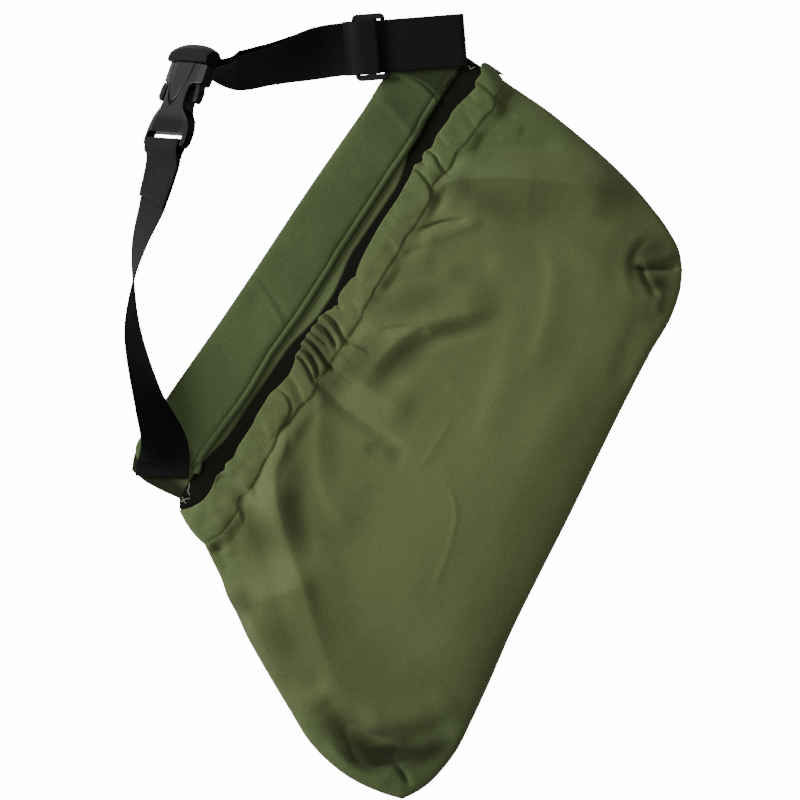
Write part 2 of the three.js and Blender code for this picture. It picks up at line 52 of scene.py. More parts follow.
def catmull(points, t):
    """Places at t (0 to 1) on a centripetal Catmull-Rom curve through the points."""
    p = np.asarray(points, float)
    t = np.clip(np.atleast_1d(np.asarray(t, float)), 0, 1)
    ends = np.vstack([2 * p[0] - p[1], p, 2 * p[-1] - p[-2]])
    at = t * (len(p) - 1)
    i = np.minimum(at.astype(int), len(p) - 2)
    w = (at - i)[:, None]
    x0, x1, x2, x3 = (ends[i + k] for k in range(4))
    gaps = [np.sum((b - a) ** 2, axis=1)[:, None] ** 0.25 for a, b in ((x0, x1), (x1, x2), (x2, x3))]
    d1 = np.where(gaps[1] < 1e-4, 1.0, gaps[1])
    d0 = np.where(gaps[0] < 1e-4, d1, gaps[0])
    d2 = np.where(gaps[2] < 1e-4, d1, gaps[2])
    t1 = ((x1 - x0) / d0 - (x2 - x0) / (d0 + d1) + (x2 - x1) / d1) * d1
    t2 = ((x2 - x1) / d1 - (x3 - x1) / (d1 + d2) + (x3 - x2) / d2) * d1
    c2 = -3 * x1 + 3 * x2 - 2 * t1 - t2
    c3 = 2 * x1 - 2 * x2 + t1 + t2
    return x1 + w * (t1 + w * (c2 + w * c3))


def run_along(line):
    """The distance along a line at each of its places."""
    return np.concatenate([[0], np.cumsum(np.linalg.norm(np.diff(line, axis=0), axis=1))])


def read(at, run, line):
    """Places on a line, where run says how far along each of its own places is."""
    return np.stack([np.interp(at, run, line[:, k]) for k in range(line.shape[1])], axis=-1)


def even(points, count, fine=600):
    """count places evenly spaced along the curve through the points."""
    line = catmull(points, np.linspace(0, 1, fine))
    run = run_along(line)
    return read(np.linspace(0, run[-1], count), run, line)


def smooth(x, low=0.0, high=1.0):
    t = np.clip((np.asarray(x, float) - low) / (high - low), 0, 1)
    return t * t * (3 - 2 * t)


def unit(v):
    return v / np.maximum(np.linalg.norm(v, axis=-1, keepdims=True), 1e-12)


def near_line(x, y, line):
    """Signed distance (positive to the right of the way along) and share along, for a polyline."""
    best = np.full(x.shape, 1e9)
    side = np.zeros(x.shape)
    share = np.zeros(x.shape)
    start = run_along(line)
    for k, length in enumerate(np.diff(start)):
        a, b = line[k], line[k + 1]
        way = (b - a) / max(length, 1e-9)
        t = np.clip((x - a[0]) * way[0] + (y - a[1]) * way[1], 0, length)
        dx, dy = x - a[0] - t * way[0], y - a[1] - t * way[1]
        d = np.hypot(dx, dy)
        closer = d < best
        best = np.where(closer, d, best)
        side = np.where(closer, np.sign(dx * way[1] - dy * way[0]), side)
        share = np.where(closer, (start[k] + t) / start[-1], share)
    return best * np.where(side == 0, 1, side), share


NOISE_CELLS = 64
NOISE_SHIFT = 500  # cells, which keeps every cell's number above zero


def value_noise(x, y, size, seed):
    """Smooth noise from -1 to 1 with features of that size."""
    table = np.random.default_rng(seed).uniform(-1, 1, (NOISE_CELLS, NOISE_CELLS))
    u, v = x / size + NOISE_SHIFT, y / size + NOISE_SHIFT
    i, j = np.floor(u).astype(int), np.floor(v).astype(int)
    fu, fv = smooth(u - i), smooth(v - j)
    i, j, right, above = (k % NOISE_CELLS for k in (i, j, i + 1, j + 1))
    low = table[i, j] * (1 - fu) + table[right, j] * fu
    high = table[i, above] * (1 - fu) + table[right, above] * fu
    return low * (1 - fv) + high * fv


def link(name, data):
    obj = bpy.data.objects.new(name, data)
    bpy.context.scene.collection.objects.link(obj)
    return obj


def rounded_mesh(name, verts, faces):
    """A smoothly shaded mesh."""
    mesh = bpy.data.meshes.new(name)
    mesh.from_pydata(verts, [], faces)
    mesh.polygons.foreach_set("use_smooth", [True] * len(mesh.polygons))
    return mesh


def grid(name, points, close_v=False, uv=None):
    """A mesh over points[u, v] in millimetres."""
    nu, nv = points.shape[:2]
    index = np.arange(nu * nv).reshape(nu, nv)
    a, b = index[:-1], index[1:]
    quads = []
    for j in range(nv if close_v else nv - 1):
        k = (j + 1) % nv
        quads.append(np.stack([a[:, j], b[:, j], b[:, k], a[:, k]], axis=1))
    faces = np.concatenate(quads)
    mesh = rounded_mesh(name, (points.reshape(-1, 3) * MM).tolist(), faces.tolist())
    if uv is not None:
        layer = mesh.uv_layers.new(name="UVMap")
        loops = np.zeros(len(mesh.loops), int)
        mesh.loops.foreach_get("vertex_index", loops)
        layer.data.foreach_set("uv", uv.reshape(-1, 2)[loops].ravel())
    mesh.update()
    return link(name, mesh)


def thicken(obj, thick):
    modifier = obj.modifiers.new("thickness", "SOLIDIFY")
    modifier.thickness = thick * MM
    modifier.offset = 0.0
    modifier.use_rim = True


def finish_piece(obj, material, body, slot, *nodes):
    obj.data.materials.append(material)
    if nodes:
        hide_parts(*nodes)
    if body:
        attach(obj, body)
    return obj


# The buckle's own frame: along it from the socket to the plug, across it, and out of its face.
CENTRE = np.array([49.9, 164.2, 27.4])
BUCKLE_POSE = Euler((math.radians(-52), math.radians(10), math.radians(15.6)), "XYZ").to_matrix()
A_WAY, Y_WAY, N_WAY = (np.array(BUCKLE_POSE.col[k]) for k in range(3))


def on_buckle(x, y, z):
    return CENTRE + x * A_WAY + y * Y_WAY + z * N_WAY


# The belt tunnel's right end is the curve x = TUNNEL_END_X - TUNNEL_END_CURVE * (y - TUNNEL_END_Y) ** 2.
TUNNEL_END_X, TUNNEL_END_Y, TUNNEL_END_CURVE = 156.5, 26, 0.011
# Soft steps in x (start, stop, y added before, y added after, in m) that make up the upper edge of the slot's
# painted shade.
MOUTH_SHADE_EDGE = [
    (-0.165, -0.13, 0.0055, 0.0008), (-0.06, -0.02, 0.0, -0.0052), (-0.01, 0.03, 0.0, 0.0056),
    (0.08, 0.13, 0.0, 0.011)
]

# ---- Materials ----


class Shader:
    """Short names for building a node material."""

    def __init__(self, name):
        self.material = bpy.data.materials.new(name)
        self.material.use_nodes = True
        self.tree = self.material.node_tree
        self.tree.nodes.clear()
        self.base = self.node("ShaderNodeBsdfPrincipled")
        self.node("ShaderNodeOutputMaterial", {0: self.base.outputs[0]})

    def feed(self, socket, value):
        """Sets a socket to a number, a colour or a vector, or joins an output to it."""
        if isinstance(value, (int, float)):
            socket.default_value = value
        elif isinstance(value, tuple):
            socket.default_value = (*value, 1) if socket.type == "RGBA" else value
        else:
            self.tree.links.new(value, socket)

    def node(self, kind, feeds=None, **values):
        made = self.tree.nodes.new(kind)
        for key, value in values.items():
            setattr(made, key, value)
        for key, value in (feeds or {}).items():
            self.feed(made.inputs[key], value)
        return made

    def place(self, which="Object"):
        return self.node("ShaderNodeTexCoord").outputs[which]

    def axes(self, vector):
        return self.node("ShaderNodeSeparateXYZ", {0: vector}).outputs

    def turned(self, which="Object", turn=0.0):
        feeds = {"Vector": self.place(which), "Rotation": (0, 0, turn)}
        return self.node("ShaderNodeMapping", feeds).outputs[0]

    def noise(self, vector, scale, detail=4.0, rough=0.5):
        feeds = {"Vector": vector, "Scale": scale, "Detail": detail, "Roughness": rough}
        return self.node("ShaderNodeTexNoise", feeds).outputs["Fac"]

    def wave(self, vector, scale, direction="X", distortion=0.0):
        feeds = {"Vector": vector, "Scale": scale, "Distortion": distortion}
        return self.node("ShaderNodeTexWave", feeds, bands_direction=direction).outputs["Fac"]

    def ramp(self, value, stops):
        made = self.node("ShaderNodeValToRGB", {"Fac": value})
        elements = made.color_ramp.elements
        for element, (at, color) in zip(elements, stops):
            element.position = at
            element.color = (*color, 1)
        return made.outputs["Color"]

    def math(self, kind, a, b):
        return self.node("ShaderNodeMath", {0: a, 1: b}, operation=kind).outputs[0]

    def mix(self, a, b, share):
        return self.node("ShaderNodeMix", {0: share, 6: a, 7: b}, data_type="RGBA").outputs[2]

    def bump(self, height, distance, strength=1.0, after=None):
        feeds = {"Height": height, "Distance": distance, "Strength": strength}
        if after is not None:
            feeds["Normal"] = after
        return self.node("ShaderNodeBump", feeds).outputs[0]

    def spread(self, value, low, high, to_low=0.0, to_high=1.0):
        """A soft step from to_low to to_high as the value goes from low to high."""
        feeds = {0: value, 1: low, 2: high, 3: to_low, 4: to_high}
        return self.node("ShaderNodeMapRange", feeds, interpolation_type="SMOOTHSTEP").outputs[0]

    def round_patch(self, middle, radii, turn=0.0):
        """Falls from 1 at the middle of an ellipse (mm, and its turn in degrees) to 0 at its rim."""
        feeds = {"Vector": self.place(), "Location": (middle[0] * MM, middle[1] * MM, 0.0),
                 "Rotation": (0, 0, math.radians(turn)), "Scale": (radii[0] * MM, radii[1] * MM, 1.0)}
        place = self.node("ShaderNodeMapping", feeds, vector_type="TEXTURE").outputs[0]
        made = self.node("ShaderNodeTexGradient", {"Vector": place}, gradient_type="SPHERICAL")
        return made.outputs["Fac"]

    def painted_light_patch(self):
        """Fades from 1 at the middle of the panel's left half to 0 round it: a painted pool of light."""
        return self.math("POWER", self.round_patch((-45, -140), (250, 150)), 0.7)

    def painted_patch_shade(self, patches):
        """Painted shade: how far the round patches (middle, radii, turn, share) darken the colour of the
        folds they cover.
        """
        total = 0.0
        for middle, radii, turn, share in patches:
            patch_share = self.spread(self.round_patch(middle, radii, turn), 0.0, 0.9, 0.0, share)
            total = self.math("ADD", patch_share, total)
        return self.math("MINIMUM", total, 0.85)

    def painted_mouth_shade(self):
        """Painted shade: 1 on the upper face within the mouth, where no light gets in, and most of 1 in the
        recess left of the band's end.
        """
        x, y, _ = self.axes(self.place())
        facing = self.axes(self.node("ShaderNodeNewGeometry").outputs["True Normal"])
        edge = 0.0
        for start, stop, before, after in MOUTH_SHADE_EDGE:
            edge = self.math("ADD", edge, self.spread(x, start, stop, before, after))
        mouth = self.spread(self.math("SUBTRACT", edge, y), -0.0012, 0.0018)
        beside = self.spread(x, -0.172, -0.184, 0.0, 0.9)
        upward = self.math("GREATER_THAN", facing[2], 0.0)
        return self.math("MULTIPLY", self.math("MAXIMUM", mouth, beside), upward)

    def on_socket(self):
        """Places along and across the buckle and out of its face, in mm."""
        feeds = {0: self.place(), 1: tuple(CENTRE * MM)}
        place = self.node("ShaderNodeVectorMath", feeds, operation="SUBTRACT").outputs[0]
        made = []
        for way in (A_WAY, Y_WAY, N_WAY):
            dot = self.node("ShaderNodeVectorMath", {0: place, 1: tuple(way)}, operation="DOT_PRODUCT")
            made.append(self.math("MULTIPLY", dot.outputs["Value"], 1 / MM))
        return made

    def arched_groove(self):
        """1 in the groove round the arched panel of the socket's face, 0 elsewhere."""
        foot, length, middle, half = 24.4, 31.4, 1.5, 12.5
        along, across, out = self.on_socket()
        reach = self.math("DIVIDE", self.math("MAXIMUM", self.math("SUBTRACT", foot, along), 0.0), length)
        aside = self.math("DIVIDE", self.math("ABSOLUTE", self.math("SUBTRACT", across, middle), 0.0), half)
        ring = self.math("ADD", self.math("POWER", reach, 1.2), self.math("POWER", aside, 1.6))
        off = self.math("ABSOLUTE", self.math("SUBTRACT", ring, 1.0), 0.0)
        return self.math("MULTIPLY", self.spread(off, 0.035, 0.11, 1.0, 0.0), self.spread(out, 2.5, 4.0))

    def painted_shade_past_tunnel_end(self):
        """Painted shade: most of 1 beyond the curved right end of the belt's tunnel, where the lower layer
        lies in shade.
        """
        x, y, _ = self.axes(self.place())
        rise = self.math("SUBTRACT", y, TUNNEL_END_Y * MM)
        curve = self.math("MULTIPLY", self.math("MULTIPLY", rise, rise), TUNNEL_END_CURVE / MM)
        past = self.math("SUBTRACT", self.math("ADD", x, curve), TUNNEL_END_X * MM)
        return self.spread(past, -0.0004, 0.0022, 0.0, 0.66)

    def set(self, **values):
        for key, value in values.items():
            self.feed(self.base.inputs[key.replace("_", " ")], value)
        return self.material


YARN_WAVE = 440.0  # repeats every 0.7 mm


def canvas(name, dark, light, turn=0.0, painted_light=None, shaded=None, shade_patches=()):
    """Plain-weave cotton: mottled colour, a fine weave and a soft nap, with painted light and painted shade
    where they are given.
    """
    s = Shader(name)
    place = s.turned(turn=turn)
    patches = s.noise(place, 14.0, 5.0, 0.55)
    color = s.ramp(patches, [(0.3, dark), (0.7, light)])
    # Painted light: the colour made lighter over the panel's left half.
    if painted_light:
        color = s.mix(color, painted_light, s.painted_light_patch())
    grain = s.noise(place, 900.0, 3.0, 0.7)
    color = s.mix(color, s.ramp(grain, [(0.4, tuple(c * 0.55 for c in dark)), (0.6, light)]), 0.28)
    specks = s.noise(place, 330.0, 1.0, 0.4)
    color = s.mix(color, (0.03, 0.03, 0.018), s.ramp(specks, [(0.79, (0, 0, 0)), (0.83, (0.4, 0.4, 0.4))]))
    # Painted shade: the colour darkened where the given mask says shade falls.
    if shaded:
        color = s.mix(color, (0.0055, 0.0068, 0.003), shaded(s))
    # Painted shade: the colour darkened in round patches.
    if shade_patches:
        color = s.mix(color, (0.008, 0.0105, 0.004), s.painted_patch_shade(shade_patches))
    warp = s.wave(place, YARN_WAVE, "X", 0.6)
    weft = s.wave(place, YARN_WAVE, "Y", 0.6)
    weave = s.math("MULTIPLY", warp, weft)
    normal = s.bump(weave, 0.00025, 0.35)
    normal = s.bump(grain, 0.0003, 0.35, normal)
    return s.set(Base_Color=color, Roughness=0.92, Specular_IOR_Level=0.15, Sheen_Weight=0.1,
                 Sheen_Roughness=0.5, Normal=normal)


def webbing(name):
    """Black webbing: fine slanting yarns on the ribs."""
    s = Shader(name)
    yarn = s.wave(s.turned("UV", 0.7), 0.32, "X", 0.2)
    grain = s.noise(s.turned("UV"), 1.6, 3.0, 0.6)
    color = s.ramp(grain, [(0.3, (0.0025, 0.0025, 0.0027)), (0.7, (0.006, 0.006, 0.0063))])
    normal = s.bump(yarn, 0.0002, 0.5)
    return s.set(Base_Color=color, Roughness=0.7, Specular_IOR_Level=0.14, Sheen_Weight=0.03, Normal=normal)


def plastic(name, shade, shine, grooved=False):
    """Moulded acetal. The socket's has an arched groove, darkened in colour as painted shade, and is duller
    at its strap end.
    """
    s = Shader(name)
    grain = s.noise(s.turned(), 1500.0, 2.0, 0.5)
    normal = s.bump(grain, 0.00006, 0.35)
    color = (shade, shade, shade * 1.06)
    if grooved:
        groove = s.arched_groove()
        normal = s.bump(s.math("SUBTRACT", 1.0, groove), 0.0005, 0.8, normal)
        # Painted shade: the groove's colour darkened.
        color = s.mix(color, (0.001, 0.001, 0.001), s.math("MULTIPLY", groove, 0.8))
        by_place = s.spread(s.on_socket()[0], -21.0, -12.0, 0.35 * shine, shine)
        shine = s.math("MULTIPLY", by_place, s.spread(groove, 0.0, 1.0, 1.0, 0.15))
    return s.set(Base_Color=color, Roughness=0.34, Specular_IOR_Level=shine, Normal=normal)


def plain(name, color, rough):
    return Shader(name).set(Base_Color=color, Roughness=rough, Specular_IOR_Level=0.3)


# Painted shade in deep folds and folded-in corners, where little light gets in: middle and radii in mm,
# turn in degrees, and how much darker.
PAINTED_FOLD_SHADE = [
    ((-262, -190), (12, 26), 8, 0.3), ((-265, -214), (18, 32), 0, 0.8), ((-240, -246), (36, 13), -32, 0.85),
    ((-254, -226), (24, 12), -38, 0.8), ((-205, -215), (56, 34), -25, 0.2),
    ((-205, -170), (40, 40), 0, 0.12), ((145, -180), (25, 23), 0, 0.6), ((132, -194), (8, 14), 20, 0.5),
    ((134, -160), (40, 16), 10, 0.25), ((118, -200), (34, 12), 8, 0.4), ((-178, -60), (18, 26), -30, 0.36),
    ((-158, -74), (40, 17), 48, 0.62), ((-132, -58), (30, 12), 32, 0.35), ((-94, -62), (44, 13), 38, 0.25),
    ((-104, -40), (54, 10), 4, 0.5), ((-34, -48), (34, 20), -10, 0.45), ((20, -52), (52, 20), -36, 0.42),
    ((58, -74), (14, 14), 0, 0.3), ((-14, -73), (42, 16), -14, 0.55), ((24, -92), (30, 9), -42, 0.35),
    ((-60, -38), (26, 16), 40, 0.5), ((108, -36), (22, 16), 0, 0.5), ((112, -62), (16, 30), 10, 0.25),
    ((-226, -74), (17, 15), 40, 0.5), ((-232, -116), (26, 26), 0, 0.25), ((-76, -106), (12, 12), 0, 0.3),
    ((-40, -16), (32, 15), 0, 0.45), ((128, -135), (16, 34), 0, 0.2)
]
# The front canvas, with painted light on its left half and painted shade in its folds and corners.
CANVAS = canvas("olive_canvas", (0.0765, 0.107, 0.037), (0.1197, 0.1557, 0.061), 0.05,
                painted_light=(0.147, 0.1745, 0.066), shade_patches=PAINTED_FOLD_SHADE)
# The band canvas, with painted shade beyond the tunnel's end and in a round patch over its right part.
BAND = canvas("band_canvas", (0.067, 0.0965, 0.0375), (0.1, 0.1355, 0.054), shaded=Shader.painted_shade_past_tunnel_end,
              shade_patches=[((132, 32), (48, 40), 0, 0.25)])
# Painted light: the back canvas is coloured lighter than the front to make up for the band's shadow on the
# strip of it seen in the mouth, and its mouth carries painted shade.
BACK = canvas("back_canvas", (0.105, 0.14, 0.057), (0.15, 0.19, 0.08), shaded=Shader.painted_mouth_shade)
WEBBING = webbing("black_webbing")
SOCKET = plastic("socket_acetal", 0.0046, 0.27, grooved=True)
PLUG = plastic("plug_acetal", 0.0035, 0.12)
PLASTIC = plastic("black_acetal", 0.0045, 0.2)
THREAD = plain("olive_thread", (0.05, 0.06, 0.022), 0.85)
BLACK_THREAD = plain("black_thread", (0.02, 0.02, 0.02), 0.6)
PALE_THREAD = plain("frayed_thread", (0.5, 0.52, 0.4), 0.9)

# ---- Outline and height of the cloth ----

LEFT = [
    (-206.8, -30), (-213.3, -41), (-220, -53), (-228.6, -65), (-234.8, -77), (-243.4, -91), (-253, -110),
    (-269.8, -146), (-282.2, -175), (-286.6, -207), (-283.2, -233), (-278, -250.5)
]
BOTTOM = [
    (-278, -250.5), (-266, -257), (-254, -260.8), (-228, -263), (-204, -260), (-172, -254.7),
    (-134, -247.5), (-86, -240.8), (-38, -234.6), (10, -227.5), (50, -222), (90, -217.3), (115, -215.8),
    (137, -210), (150, -203)
]
RIGHT = [
    (190.5, -23), (190.5, -60), (189, -80), (185.2, -115), (180.3, -141), (175, -160), (169.4, -176.2),
    (160.4, -193.3), (150, -203)
]
MOUTH_EDGE = [
    (-196.3, -0.5), (-191, -5.6), (-185, -9), (-180, -10.8), (-172, -11.2), (-165, -10), (-161, -9),
    (-158, -9.7), (-153, -11), (-150, -9.5), (-143, -11.5), (-135, -10), (-125, -9.7), (-115, -9.5),
    (-108, -8.3), (-100, -8), (-90, -7.7), (-85, -9), (-80, -10), (-72, -11), (-66, -10.4), (-61, -9),
    (-57, -7), (-54, -7), (-51, -7.6), (-47, -5.4), (-43, -6.2), (-40, -5.2), (-37, -6.4), (-34, -5.4),
    (-29, -6.6), (-25, -5.6), (-21, -7), (-18, -8), (-15, -10), (-12, -10.5), (-10, -12.3), (-7, -10),
    (-2, -8.5), (2, -8.5), (6, -9), (11, -9.5), (14, -11), (17, -9.8), (22, -8.5), (30, -7), (40, -6),
    (50, -5), (60, -4.5), (70, -4.5), (80, -4.3), (88, -3.5), (95, -3), (100, -2), (104, -1), (107, -3),
    (110, -4), (113, -2), (117, -2), (121, -4), (125, -3.5), (130, -2.2), (138, -2.5), (145, -2.8),
    (150, -2), (156, -2.5), (161, -3.5), (166, -4.6), (172, -5.6), (175, -6), (177, -4), (182, -3.5),
    (186, -3.4), (189, -0.8), (191.2, 0.2), (192.8, -0.6), (194.2, -3.6)
]
HEM_LINE = [
    (-206.3, -30), (-200, -32), (-195, -35), (-190, -36), (-178, -36.5), (-173, -36.5), (-169, -33.6),
    (-165, -32.5), (-160, -33.2), (-157, -35), (-150, -35), (-143, -34.5), (-138, -33.5), (-130, -32.5),
    (-120, -32), (-112, -30), (-105, -30), (-95, -31.5), (-85, -32), (-80, -33.5), (-75, -34.5),
    (-70, -33.5), (-65, -31), (-60, -31), (-56, -32.5), (-50, -32.5), (-40, -31.8), (-30, -32),
    (-15, -32.2), (-8, -32), (-4, -30.5), (2, -29.8), (9, -29.6), (13, -28.5), (20, -28.5), (30, -27.8),
    (40, -28), (50, -27), (57, -25.8), (64, -26.8), (80, -26.2), (88, -25.6), (94, -23.5), (98, -21),
    (108, -22), (114, -23.7), (118, -24), (123, -23), (128, -22), (133, -22.5), (140, -23.8), (150, -24),
    (160, -24.5), (166, -26), (172, -25.8), (176, -22.5), (182, -23), (186, -22), (190, -20)
]

# Folds as (places along it, height, falloff to the left of the way along, falloff to the right, and for a
# keen crest how far it is rounded off). Heights and falloffs can change along the fold, which dies out at
# both ends. A fold with unequal falloffs is a soft step.
RUFFLES = [
    ([(-56, -6), (-57, -13), (-60, -20), (-65.5, -29)], -3.6, 1.7, 1.5),
    ([(-51, -6), (-50, -13), (-52.5, -20), (-58, -27), (-63, -29.5)], -3.6, 1.5, 1.3),
    ([(-47.5, -5), (-48, -12), (-50, -18)], -1.4, 0.8, 0.8),
    ([(-42, -4), (-43, -13), (-46, -22), (-49, -30), (-50, -36)], -3.8, 1.5, 1.5),
    ([(-37, -5), (-37.5, -13), (-38.5, -21)], -2.2, 1.1, 0.9),
    ([(-28.5, -5), (-29, -15), (-31.5, -21), (-36, -28)], -3.6, 1.7, 1.5),
    ([(-20, -5), (-20, -14), (-22, -20), (-25.5, -26), (-27.5, -31)], -3.2, 1.5, 1.7),
    ([(-53.5, -6), (-54, -13), (-57, -20), (-61, -27)], 1.6, 1.2, 1.2),
    ([(-45.5, -5), (-46, -13), (-49, -22), (-53, -30)], 1.9, 1.3, 1.5),
    ([(-33, -5), (-34, -14), (-35, -24)], 1.7, 1.8, 1.8),
    ([(-24.5, -5), (-25, -14), (-28, -22), (-31, -29)], 1.8, 1.6, 1.6),
]
HEM_FOLDS = [
    ([(-159, -6), (-157.5, -20), (-158.5, -36)], -8, 1.8, 11),
    ([(-183, -12), (-182, -22), (-186, -32)], 1.6, 7, 8),
    ([(-150, -10), (-146, -22), (-150, -33)], 0.9, 4, 6),
    ([(-116, -8), (-113, -16), (-117, -26), (-112, -30)], -1.1, 2.2, 4),
    ([(-72, -12), (-76, -22), (-82, -31)], -1.2, 2, 4),
    ([(-4, -9), (-2, -18), (-6, -29)], -1, 2, 4),
    ([(46, -6), (49, -14), (46, -24)], -0.9, 1.8, 4),
    ([(70, -5), (66, -14), (70, -24)], -0.8, 2, 3),
    ([(132, -3), (129, -12), (131, -21)], -0.9, 1.6, 3),
    ([(152, -3), (155, -12), (151, -22)], -0.9, 1.6, 3.4),
    ([(168, -5), (166, -14), (169, -24)], -0.9, 1.6, 3),
    ([(-128, -8), (-124, -20), (-130, -30)], -0.9, 5, 8),
    ([(-104, -8), (-106, -18), (-100, -24)], 0.9, 5, 5),
    ([(24, -8), (28, -18), (22, -26)], -0.7, 5, 5),
    ([(82, -4), (84, -14), (78, -22)], 0.7, 5, 6),
    ([(-170, -6), (-171, -20), (-171, -34)], 0.9, 7, 7),
    ([(-86.5, -6), (-86, -17), (-90, -24), (-97, -27.5), (-108, -27)], 1.7, 1, 9),
    ([(-84.7, -9), (-84.6, -17), (-89, -25.3), (-97, -28.8), (-108, -28.4)], -0.9, 1.4, 1.2),
    ([(-142, -6), (-140, -13)], -0.8, 3, 3),
    ([(-10, -8), (-10.5, -14)], -1.5, 1.8, 1.8),
    ([(14, -8), (14, -13)], -0.9, 1.8, 2.4),
    ([(100.5, 0), (99, -10), (96, -18), (91.5, -23), (86, -25)], 1.7, 1.1, 8),
    ([(102, -2), (100.8, -10), (98, -17.5), (93, -24)], -1.1, 2, 1.1),
    ([(109, 0), (109, -6)], -1, 1.6, 1.6),
    ([(118.5, -1), (117.8, -10), (114.4, -16), (112.2, -23)], -2.4, 1.1, 1.1),
    ([(115.5, -2), (114.5, -10), (111, -18)], 0.9, 2, 3),
    ([(161, -2), (160, -10), (161, -18)], -0.6, 2.2, 2.2),
    ([(142, -8), (142, -17)], -0.35, 2, 2),
    ([(177.2, -1), (176.8, -12), (175, -22), (171, -27)], 1.2, 0.9, 6),
    ([(178.4, -1), (178, -12), (176.2, -22)], -1, 2.5, 1),
    ([(60, -4), (58, -14), (60, -24)], -0.3, 3, 3),
    ([(36, -6), (34, -20)], -0.3, 3, 3),
]
